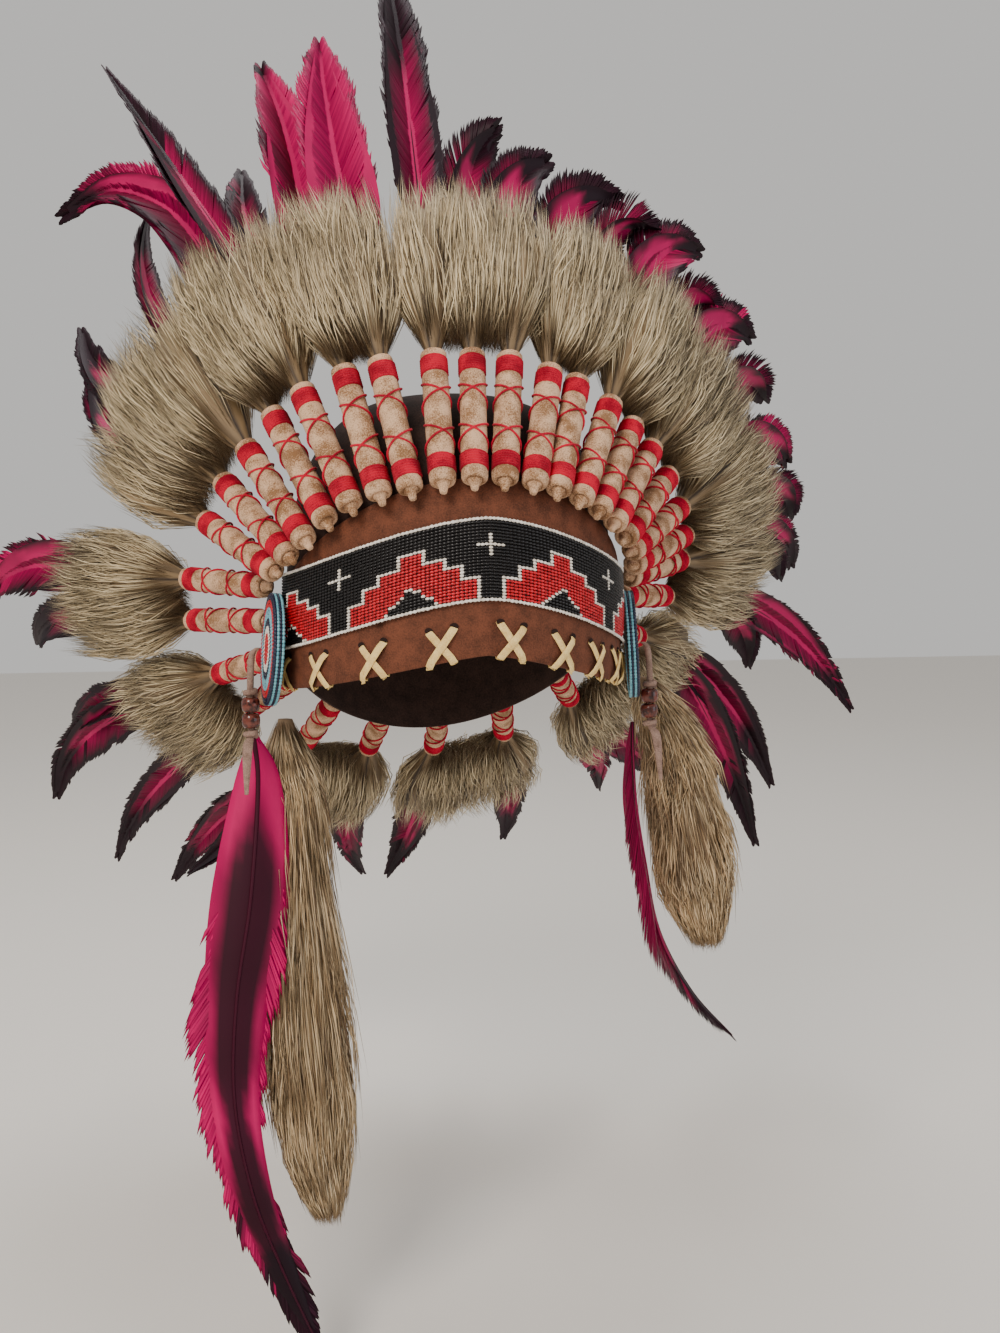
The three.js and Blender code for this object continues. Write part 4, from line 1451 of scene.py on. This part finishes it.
@dataclass
class Plume:
    """A plume: long fur combed outwards over two or three quills, and the cock feathers set in it.

    The outline and the spindle of the underfur are shares of the length with shares of the girth.
    """

    palette: Palette
    number: int
    row: PlumeRow
    hairs: int = 5400
    clump: int = 15
    hair_half_width: float = 0.27
    flatness: float = 0.75
    outline: Pairs = ((0.0, 0.26), (0.12, 0.66), (0.35, 0.94), (0.7, 1.0), (1.08, 0.86))
    spindle: Pairs = (
        (0.0, 0.16),
        (0.06, 0.24),
        (0.15, 0.36),
        (0.3, 0.56),
        (0.5, 0.68),
        (0.7, 0.62),
        (0.84, 0.4),
        (0.92, 0.06),
    )
    spindle_sides: int = 18
    at_quill_end: float = 0.45
    drawn_together: float = 0.34
    end_starts: tuple[float, float] = (0.0, 0.08)
    other_starts: tuple[float, float] = (0.05, 0.62)
    lengths: tuple[float, float] = (0.42, 0.85)
    depths: tuple[float, float] = (0.62, 1.0)
    sway_drift: float = 0.35
    lift_drift: float = 2.8
    tip_drift: float = 1.3
    middle_drift: float = 0.7
    gathers: float = 0.12

    @property
    def node(self) -> str:
        """The CAD node that the plume stands for."""
        return f"plume_{self.number:02d}"

    def quills(self) -> list[Quill]:
        """The quills that the plume grows out of."""
        return QUILLS[self.row.first - 1 : self.row.last]

    def line(self, mix: np.ndarray, share: np.ndarray, angle: np.ndarray, size: np.ndarray) -> np.ndarray:
        """Points of the fur.

        Args:
            mix: place from the first quill, 0, to the last, 1.
            share: share of the fur's length.
            angle: angle about its middle line.
            size: share of its reach out of that line.

        Returns:
            The points, N by 3.
        """
        quills = self.quills()
        place = mix * (len(quills) - 1)
        low = np.minimum(place.astype(int), len(quills) - 2)
        high = low + 1
        # Hairs gather round the quills, with fewer half way between two.
        over = np.clip(place - low, 0, 1)
        over = over - self.gathers * np.sin(2 * math.pi * over)

        def mixed(vectors: list[Vector]) -> np.ndarray:
            """Each quill's vector mixed between two quills."""
            table = rows_of(vectors)
            return table[low] * (1 - over)[:, None] + table[high] * over[:, None]

        axes = [quill_axes(quill) for quill in quills]
        starts = mixed([beyond_quill(quill, 0) for quill in quills])
        keys = ("along", "side", "back")
        along, side, back = (unit(mixed([getattr(a, key) for a in axes])) for key in keys)
        reach = np.interp(share, *zip(*self.outline)) * self.row.girth * size
        x, y = np.cos(angle) * reach, np.sin(angle) * reach * self.flatness
        flat = side * x[:, None] + back * y[:, None]
        return starts + along * (share * self.row.fur)[:, None] + flat

    def fur(self, rng: np.random.Generator) -> bpy.types.Object:
        """All hairs of the plume, in wisps whose hairs lean together at their tips."""
        each = self.clump
        wisps = self.hairs // each
        own = wisps * each
        mix = rng.uniform(0, 1, wisps)
        # Nearly half of the wisps start at the quill's end and hide it.
        low = rng.uniform(*self.end_starts, wisps)
        hides = rng.uniform(0, 1, wisps) < self.at_quill_end
        start = np.where(hides, low, rng.uniform(*self.other_starts, wisps))
        length = rng.uniform(*self.lengths, wisps)
        angle = rng.uniform(0, 2 * math.pi, wisps)
        depth = rng.uniform(*self.depths, wisps)
        sway = np.repeat(rng.normal(0, self.sway_drift, wisps), each)
        tone = np.repeat(rng.uniform(0, 1, wisps), each)
        lift = rng.normal(0, 1, (wisps, 3)) * self.lift_drift

        def spread(values: np.ndarray, jitter: float, least: float, most: float) -> np.ndarray:
            """A wisp's value for each of its hairs, with its own drift, between two bounds."""
            return np.clip(np.repeat(values, each) + rng.normal(0, jitter, own), least, most)

        mix = spread(mix, 0.05, 0, 1)
        start = spread(start, 0.04, 0.0, 0.8)
        angle = spread(angle, 0.3, -np.inf, np.inf)
        depth = spread(depth, 0.1, 0.15, 1.0)
        length = spread(length, 0.07, 0.2, 0.95)
        end = np.minimum(start + length, 1.05 + rng.normal(0, 0.045, own))
        root = self.line(mix, start, angle, depth * 0.7)
        mid = self.line(mix, start + (end - start) * 0.5, angle + sway * 0.4, depth * 0.98)
        tip = self.line(mix, end, angle + sway, depth)
        # The tips of a wisp draw together.
        wisp_tip = tip.reshape(wisps, each, 3).mean(axis=1)
        together = np.repeat(wisp_tip + lift, each, axis=0) * self.drawn_together
        tip = tip * (1 - self.drawn_together) + together + rng.normal(0, self.tip_drift, (own, 3))
        mid = mid * 0.75 + (root + tip) * 0.125 + np.repeat(lift, each, axis=0) * 0.25
        mid = mid + rng.normal(0, self.middle_drift, (own, 3))
        spines = Spines()
        add_hairs(spines, (root, mid, tip), tone, rng, self.hair_half_width)
        return spines.build(f"{self.node}_fur", "hair", self.palette.fur, pointed=True)

    def core(self, rng: np.random.Generator) -> bpy.types.Object:
        """The dense underfur: a lobed spindle on each quill, under the long hairs, darkened as painted shade
        in the depth of the fur.
        """
        gathered = Gathered()
        sides = self.spindle_sides
        angle = np.arange(sides) * 2 * math.pi / sides
        for quill in self.quills():
            axes = quill_axes(quill)
            start = np.array(beyond_quill(quill, 0.2))
            turns = rng.uniform(0, 2 * math.pi, 3)
            lobe = 1 + 0.09 * np.cos(5 * angle + turns[0]) + 0.06 * np.cos(9 * angle + turns[1])
            tone = 0.35 + 0.25 * np.cos(7 * angle + turns[2])
            points, uvs = [], []
            for share, size in self.spindle:
                radius = self.row.girth * size * (lobe if share > 0 else 1)
                flat = np.outer(np.cos(angle) * radius, np.array(axes.side))
                flat = flat + np.outer(np.sin(angle) * radius * self.flatness, np.array(axes.back))
                points.append(start + np.array(axes.along) * share * self.row.fur + flat)
                # Its colours come from the dark root end of the hair's ramp: painted shade in the depth of
                # the fur.
                uvs.append(np.column_stack([tone, np.full(sides, 0.12 + 0.16 * share)]))
            body = np.concatenate(points), ring_faces(len(self.spindle), sides)
            gathered.take(body, 0, np.concatenate(uvs))
        return gathered.build(f"{self.node}_underfur", [self.palette.fur], 60, "hair")

    def build(self, rng: np.random.Generator) -> None:
        """Makes the underfur, the hairs and the feathers."""
        settle(self.core(rng), self.node)
        settle(self.fur(rng), self.node)
        spines, blades = Spines(), Gathered()
        for row in FEATHERS:
            if self.row.first <= row.stick <= self.row.last:
                CockFeather(row).add(spines, blades, rng)
        vane = self.palette.vane
        settle(spines.build(f"{self.node}_barbs", "barb", vane), self.node)
        settle(blades.build(f"{self.node}_blades", [vane], 70, "barb"), self.node)


@dataclass
class Blade:
    """One feather from its stations: middle line, width vector and half width."""

    centres: np.ndarray
    across: np.ndarray
    half_width: np.ndarray
    dark: float
    spacing: float = 1.3
    sweep: float = 38.0
    barb_half_width: float = 1.0
    barb_half_depth: float = 0.16
    cup: float = 0.12
    sweep_change: float = 14.0
    group_share: float = 0.14
    group_turn: float = 2.2
    group_reach: float = 0.035
    barb_turn: float = 1.0
    barb_reach: float = 0.03
    frayed: float = 1.0
    web_share: float = 0.95
    heart: float = 0.0
    web_half: float = 0.18
    web_places: int = 9
    girth: tuple[float, float] = (1.0, 0.25)
    shaft: tuple[float, float] = (0.9, 0.8)
    shaft_uv: tuple[float, float] = (0.92, 0.35)

    def __post_init__(self) -> None:
        """Measures the middle line and squares the width vectors to it."""
        steps = np.linalg.norm(np.diff(self.centres, axis=0), axis=1)
        self.distance = np.concatenate([[0], np.cumsum(steps)])
        self.way = unit(np.gradient(self.centres, axis=0))
        self.across = square_to(self.across, self.way)

    def blackness(self, along: np.ndarray, out: np.ndarray, streak: np.ndarray) -> np.ndarray:
        """How black the blade is at a share of its length and of its half width."""
        dyed_to = 0.86 - 0.42 * self.dark
        tip = smooth_step(along + 0.05 * streak, dyed_to, dyed_to + 0.14)
        edge_from = 0.92 - 0.8 * self.dark
        edge = smooth_step(out + 0.14 * streak, edge_from, edge_from + 0.28) * (1 - self.heart)
        beside_shaft = 1 - smooth_step(out + 0.1 * streak, 0.5, 0.86)
        inner = self.heart * beside_shaft * smooth_step(along, 0.04, 0.16)
        return np.maximum(np.maximum(tip, edge), inner)

    def web(self, rng: np.random.Generator) -> tuple[Part, np.ndarray]:
        """The closed thin web under the barbs.

        Returns:
            Its points and faces, and the blade UV of each point.
        """
        normal = unit(np.cross(self.way, self.across))
        places = np.linspace(-1, 1, self.web_places)
        ring = np.concatenate([places, places[::-1]])
        above = np.repeat([1.0, -1.0], self.web_places)
        # The stations stop short of the tip, where only barbs are left.
        used = slice(0, len(self.centres) - 1)
        half = self.half_width[used, None] * self.web_share
        sink = 0.28 * half * ring**2 + 0.25 - above * self.web_half * (1 - ring**2) - above * 0.04
        wide = self.across[used, None] * (half * ring)[..., None]
        points = self.centres[used, None] + wide - normal[used, None] * sink[..., None]
        run = np.abs(ring) * half / math.tan(math.radians(self.sweep - 7))
        rooted = np.clip((self.distance[used, None] - run) / self.distance[-1], 0, 1)
        knots = np.linspace(0, self.distance[-1], 14)
        flat = np.zeros_like(rooted)
        streak = np.interp(self.distance[used], knots, rng.normal(0, 0.8, len(knots)))[:, None] + flat
        black = self.blackness(rooted, np.abs(ring) * self.web_share + flat, streak)
        uvs = np.stack([black, np.clip(0.42 + 0.12 * streak, 0.1, 0.9)], axis=-1).reshape(-1, 2)
        return (points.reshape(-1, 3), ring_faces(len(points), len(ring))), uvs

    def barbs(self, spines: Spines, rng: np.random.Generator) -> None:
        """Adds the barbs of both sides to a set of spines."""
        length = self.distance[-1]
        count = max(8, int(length / self.spacing))
        along = (np.arange(count) + 0.5) / count * 0.985
        at = along * length
        sweep = self.sweep - self.sweep_change * along

        def sample(table: np.ndarray) -> np.ndarray:
            """A station table at each barb's place."""
            return np.column_stack([np.interp(at, self.distance, table[:, k]) for k in range(3)])

        centre, way, across = sample(self.centres), unit(sample(self.way)), unit(sample(self.across))
        half = np.interp(at, self.distance, self.half_width)
        normal = unit(np.cross(way, across))
        for side in (-1, 1):
            # Barbs lock together in groups, and the blade splits between them.
            group = np.cumsum(rng.uniform(0, 1, count) < self.group_share)
            groups = group.max() + 1
            turn = rng.normal(0, self.group_turn, groups)[group]
            longer = 1 + rng.normal(0, self.group_reach, groups)[group] * self.frayed
            angle = np.radians(sweep + turn + rng.normal(0, self.barb_turn, count))
            reach = half / np.sin(np.radians(sweep)) * longer * (1 + rng.normal(0, self.barb_reach, count))
            direction = way * np.cos(angle)[:, None] + across * (side * np.sin(angle))[:, None]
            sink = normal * (self.cup * reach)[:, None]
            tip = centre + direction * reach[:, None] + way * (0.12 * reach)[:, None] - sink * 1.2
            mid = centre + direction * (0.88 * reach)[:, None] + way * (0.06 * reach)[:, None] - sink * 0.93
            wide = square_to(way, direction) * self.barb_half_width
            streak = rng.normal(0, 1, groups)[group]
            own = rng.uniform(0, 1, count)
            uvs = np.empty((count, 3, 2))
            for k, out in enumerate((0.06, 0.88, 1.0)):
                uvs[:, k, 0] = self.blackness(along, np.full(count, out), streak)
                uvs[:, k, 1] = 0.25 + 0.5 * own + 0.2 * (k == 1)
            deep = normal * self.barb_half_depth
            spines.add(centre, mid, tip, wide, deep, np.clip(uvs, 0.01, 0.99))

    def add(self, spines: Spines, blades: Gathered, rng: np.random.Generator) -> None:
        """Adds the barbs, the web under them and the tapered dark shaft."""
        self.barbs(spines, rng)
        web, uvs = self.web(rng)
        blades.take(web, 0, uvs)
        girth = np.linspace(*self.girth, len(self.centres))[:, None]
        wide, deep = self.shaft
        normal = np.cross(self.way, self.across)
        shaft = tube_rings(self.centres, self.across * girth * wide, normal * girth * deep, 6)
        blades.take(shaft, 0, self.shaft_uv)


@dataclass
class CockFeather:
    """One cock feather of the halo, on the same line as in the part's source."""

    row: FeatherRow
    stations: int = 30

    def add(self, spines: Spines, blades: Gathered, rng: np.random.Generator) -> None:
        """Lays out its line and adds its barbs, web and shaft."""
        row = self.row
        quill = QUILLS[row.stick - 1]
        steps = len(VANE_OUTLINE) - 1
        centre = quill_point(quill, STICK_LENGTH + row.start)
        centres, across = [], []
        for k in range(steps + 1):
            turn = (k / steps) ** row.late
            axes = quill_axes(quill, row.lean + row.curl * turn, row.rise + row.droop * turn)
            twist = Matrix.Rotation(math.radians(row.twist * (1 + k / steps)), 3, axes.along)
            centres.append(centre.copy())
            across.append(twist @ axes.side)
            centre = centre + axes.along * (row.length / steps)
        shares = np.linspace(0, 1, self.stations)
        outline = np.interp(shares * steps, np.arange(steps + 1), VANE_OUTLINE)
        soft = np.convolve(np.pad(outline, 2, mode="edge"), np.ones(5) / 5, mode="valid")
        middle, wide = spline(rows_of(centres), shares), unit(spline(rows_of(across), shares))
        Blade(middle, wide, soft * row.width / 2, row.dark).add(spines, blades, rng)


# ---- Side drops ----------------------------------------------------------------------------------------


@dataclass
class SideDrop:
    """What hangs behind one rosette: a suede thong with two beads, a long feather and a fur tail."""

    palette: Palette
    place: str
    side: int
    feather: list[DropRow]
    tail: list[DropRow]
    dark: float
    heart: float
    bead_radius: float = 4.6
    bead_bore: float = 2.1
    bead_half: float = 3.7
    bead_sides: int = 40
    beads_at: tuple[tuple[str, float], ...] = (("upper", -154.5), ("lower", -162.5))
    knots_at: tuple[float, ...] = (-148.4, -169.2)
    knot_steps: int = 26
    knot_turns: float = 1.1
    knot_round: tuple[float, float] = (2.7, 2.3)
    knot_rise: float = 0.28
    strap_half: tuple[float, float] = (1.2, 1.5)
    tail_rings: int = 26
    tail_sides: int = 20
    tail_core: float = 0.72
    tail_lobes: int = 5
    hairs: int = 5400
    clump: int = 18
    hair_half_width: float = 0.3

    @staticmethod
    def section(rows: list[DropRow], shares: np.ndarray) -> tuple[np.ndarray, np.ndarray, np.ndarray]:
        """Middle points, widths and depths at shares of a hanging piece's length."""
        smooth = spline(np.array([astuple(row) for row in rows], float), shares)
        return smooth[:, :3], np.maximum(smooth[:, 3], 0.6), np.maximum(smooth[:, 4], 0.6)

    def thong_section(self, count: int) -> tuple[np.ndarray, np.ndarray, np.ndarray]:
        """The thong's middle points, widths and depths, from behind the rosette to its cut end."""
        rows = [replace(row, x=self.side * row.x) for row in THONG_RIGHT]
        return self.section(rows, np.linspace(0, 1, count))

    @staticmethod
    def at_height(centres: np.ndarray, z: float) -> np.ndarray:
        """The point of a line that hangs down at a height."""
        return np.array([np.interp(-z, -centres[:, 2], centres[:, k]) for k in range(3)])

    def thong(self) -> None:
        """The thong, with a knot over and under the beads."""
        centres, width, depth = self.thong_section(40)
        x, y = np.array([1.0, 0, 0]), np.array([0, 1.0, 0])
        gathered = Gathered()
        gathered.take(tube_rings(centres, width[:, None] / 2 * x, -depth[:, None] / 2 * y, 10))
        turn = np.linspace(0, 2 * self.knot_turns * math.pi, self.knot_steps)
        wide, deep = self.knot_round
        ring = np.column_stack([np.cos(turn) * wide, np.sin(turn) * deep, turn * self.knot_rise - 1.0])
        out = np.column_stack([np.cos(turn), np.sin(turn), np.zeros(self.knot_steps)])
        up = np.tile([0, 0, 1.0], (self.knot_steps, 1))
        thick, tall = self.strap_half
        for z in self.knots_at:
            gathered.take(tube_rings(self.at_height(centres, z) + ring, out * thick, up * -tall, 8))
        node = f"drop_thong_{self.place}"
        settle(gathered.build(f"{node}_suede", [self.palette.thong], 60), node)

    def bead(self, name: str, z: float) -> None:
        """One barrel bead, turned about its bore."""
        half, outer, bore = self.bead_half, self.bead_radius, self.bead_bore
        upper = (
            (bore, half - 0.5),
            (bore + 0.5, half),
            (outer - 1.2, half - 0.15),
            (outer - 0.45, half - 0.9),
            (outer - 0.08, half - 2.2),
        )
        profile = [(r, -h) for r, h in upper] + [(outer, 0.0), *reversed(upper)]
        angle = np.arange(self.bead_sides) * 2 * math.pi / self.bead_sides
        x, y, flat = np.cos(angle), np.sin(angle), np.ones(self.bead_sides)
        points = np.concatenate([np.column_stack([x * r, y * r, flat * h]) for r, h in profile])
        middle = self.at_height(self.thong_section(60)[0], z)
        gathered = Gathered()
        gathered.take((points + middle, ring_faces(len(profile), self.bead_sides, loop=True)))
        node = f"drop_bead_{self.place}_{name}"
        settle(gathered.build(f"{node}_glass", [self.palette.drop_bead], 50), node)

    def long_feather(self, rng: np.random.Generator) -> None:
        """The long feather: a blade that hangs from the thong's knot."""
        centres, width, depth = self.section(self.feather, np.linspace(0, 1, 46))
        edge_on = depth.max() > width.max()
        across = np.tile([0.0, 1.0, 0.0] if edge_on else [1.0, 0.0, 0.0], (len(centres), 1))
        half = np.maximum(width, depth) / 2
        blade = Blade(
            centres,
            across,
            half,
            self.dark,
            heart=self.heart,
            frayed=1.6,
            sweep=30.0,
            girth=(1.3, 0.3),
            shaft=(1.0, 0.9),
        )
        spines, blades = Spines(), Gathered()
        blade.add(spines, blades, rng)
        node = f"drop_feather_{self.place}"
        settle(spines.build(f"{node}_barbs", "barb", self.palette.vane), node)
        settle(blades.build(f"{node}_blade", [self.palette.vane], 70, "barb"), node)

    def underfur(self) -> None:
        """The lobed body of the fur tail, under its long hairs, darkened as painted shade in the depth of the
        fur.
        """
        centres, width, depth = self.section(self.tail, np.linspace(0, 0.97, self.tail_rings))
        angle = np.arange(self.tail_sides) * 2 * math.pi / self.tail_sides
        lobe = self.tail_core * (1 + 0.1 * np.cos(self.tail_lobes * angle))
        x = np.cos(angle) * width[:, None] / 2
        y = np.sin(angle) * depth[:, None] / 2
        points = centres[:, None] + np.stack([x, y, np.zeros_like(x)], axis=-1) * lobe[:, None]
        body = points.reshape(-1, 3), ring_faces(self.tail_rings, self.tail_sides)
        gathered = Gathered()
        # A dark place on the hair's colours: painted shade under the long hairs.
        gathered.take(body, 0, (0.3, 0.2))
        node = f"fur_tail_{self.place}"
        settle(gathered.build(f"{node}_underfur", [self.palette.tail_fur], 60, "hair"), node)

    def fur_tail(self, rng: np.random.Generator) -> None:
        """The long hairs combed down the fur tail, in wisps."""
        wisps = self.hairs // self.clump
        own = np.repeat(np.arange(wisps), self.clump)
        count = len(own)

        def drawn(low: float, high: float, jitter: float) -> np.ndarray:
            """A wisp's value for each of its hairs, with its own drift."""
            return rng.uniform(low, high, wisps)[own] + rng.normal(0, jitter, count)

        start = np.clip(drawn(-0.02, 0.9, 0.02), 0, 0.93)
        reach = drawn(0.12, 0.3, 0.02)
        turn = drawn(0, 2 * math.pi, 0.4)
        sway = rng.normal(0, 0.25, wisps)[own]
        size = np.clip(drawn(0.72, 1.08, 0.09), 0.4, 1.2)
        end = np.minimum(start + reach, 1.0 + rng.normal(0, 0.015, count))
        root = self.around(start, turn, size * self.tail_core)
        mid = self.around((start + end) / 2, turn + sway * 0.4, size)
        tip = self.around(end, turn + sway, size * 1.1) + rng.normal(0, 1.3, (count, 3))
        spines = Spines()
        tone = rng.uniform(0, 1, wisps)[own]
        add_hairs(spines, (root, mid, tip), tone, rng, self.hair_half_width)
        node = f"fur_tail_{self.place}"
        settle(spines.build(f"{node}_fur", "hair", self.palette.tail_fur, pointed=True), node)

    def around(self, share: np.ndarray, angle: np.ndarray, size: np.ndarray) -> np.ndarray:
        """Points about the fur tail at shares of its length."""
        centres, width, depth = self.section(self.tail, share)
        x = np.cos(angle) * width / 2 * size
        y = np.sin(angle) * depth / 2 * size
        return centres + np.column_stack([x, y, np.zeros(len(share))])

    def build(self, rng: np.random.Generator) -> None:
        """Makes every piece of the drop."""
        self.thong()
        for name, z in self.beads_at:
            self.bead(name, z)
        self.long_feather(rng)
        self.underfur()
        self.fur_tail(rng)


# ---- Studio --------------------------------------------------------------------------------------------


@dataclass
class Studio:
    """A pale floor, soft lights and the camera before the brow."""

    azimuth: float = -12.0
    pitch: float = 5.0
    distance: float = 0.733
    lens: float = 37.35
    aim_side: float = 0.027
    aim_height: float = -0.139
    floor_z: float = -0.49

    def build(self) -> None:
        """Makes the floor, the world, the lights and the camera."""
        self.floor()
        self.world()
        self.light("key", (-1.0, -1.4, 1.0), 0.8, 32.0, "FFF6EC")
        self.light("fill", (1.5, -1.1, 0.2), 1.2, 8.0, "EEF3FF")
        self.light("top", (0.1, 0.5, 1.5), 1.0, 16.0, "FFFFFF")
        self.camera()

    def floor(self) -> None:
        """A wide pale floor."""
        bpy.ops.mesh.primitive_plane_add(size=8.0)
        plane = bpy.context.active_object
        plane.name = "floor"
        for vertex in plane.data.vertices:
            vertex.co.z += self.floor_z
        # Matt painted board.
        material, shader = new_material("painted_board", 0.85)
        shader.inputs["Base Color"].default_value = linear("E4DFD8")
        plane.data.materials.append(material)

    def world(self) -> None:
        """A pale even surround."""
        world = bpy.data.worlds.new("pale_surround")
        world.use_nodes = True
        ground = world.node_tree.nodes["Background"]
        ground.inputs["Color"].default_value = linear("EDEBE8")
        ground.inputs["Strength"].default_value = 0.72
        bpy.context.scene.world = world

    @staticmethod
    def light(name: str, place: tuple[float, float, float], size: float, watts: float, color: str) -> None:
        """A square soft light that faces the headdress."""
        data = bpy.data.lights.new(name, "AREA")
        data.size = size
        data.energy = watts
        data.color = linear(color)[:3]
        lamp = bpy.data.objects.new(name, data)
        lamp.location = place
        way = Vector((0, 0, -0.12)) - Vector(place)
        lamp.rotation_euler = way.to_track_quat("-Z", "Y").to_euler()
        bpy.context.scene.collection.objects.link(lamp)

    def camera(self) -> None:
        """The camera, a little above the brow's level and to its right side."""
        a, b = math.radians(self.azimuth), math.radians(self.pitch)
        right = Vector((math.cos(a), math.sin(a), 0))
        level = Vector((math.sin(a), -math.cos(a), 0))
        back = level * math.cos(b) + Vector((0, 0, math.sin(b)))
        up = Vector((0, 0, math.cos(b))) - level * math.sin(b)
        data = bpy.data.cameras.new("camera")
        data.lens = self.lens
        data.sensor_width = 36.0
        data.clip_start = 0.01
        camera = bpy.data.objects.new("camera", data)
        aim = Vector((0, 0, self.aim_height)) + right * self.aim_side
        turn = Matrix((right, up, back)).transposed().to_4x4()
        camera.matrix_world = Matrix.Translation(aim + back * self.distance) @ turn
        bpy.context.scene.collection.objects.link(camera)
        bpy.context.scene.camera = camera


def main() -> None:
    """Builds the headdress in order, then its studio."""
    logging.basicConfig(level=logging.INFO, format="%(name)s: %(message)s")
    rng = np.random.default_rng(SEED)
    palette = Palette()
    Leatherwork(palette).build()
    LoomedStrip(palette).build()
    Rosette(palette, "left", -1, 11.5, 4.0).build()
    Rosette(palette, "right", 1, 12.5, 15.0).build()
    for number, quill in enumerate(QUILLS, 1):
        QuillWrap(palette, number, quill).build(rng)
    for number, row in enumerate(PLUMES, 1):
        Plume(palette, number, row).build(rng)
    SideDrop(palette, "left", -1, DROP_FEATHER_LEFT, FUR_TAIL_LEFT, 0.5, 0.95).build(rng)
    SideDrop(palette, "right", 1, DROP_FEATHER_RIGHT, FUR_TAIL_RIGHT, 0.75, 0.5).build(rng)
    Studio().build()


if __name__ == "__main__":
    main()
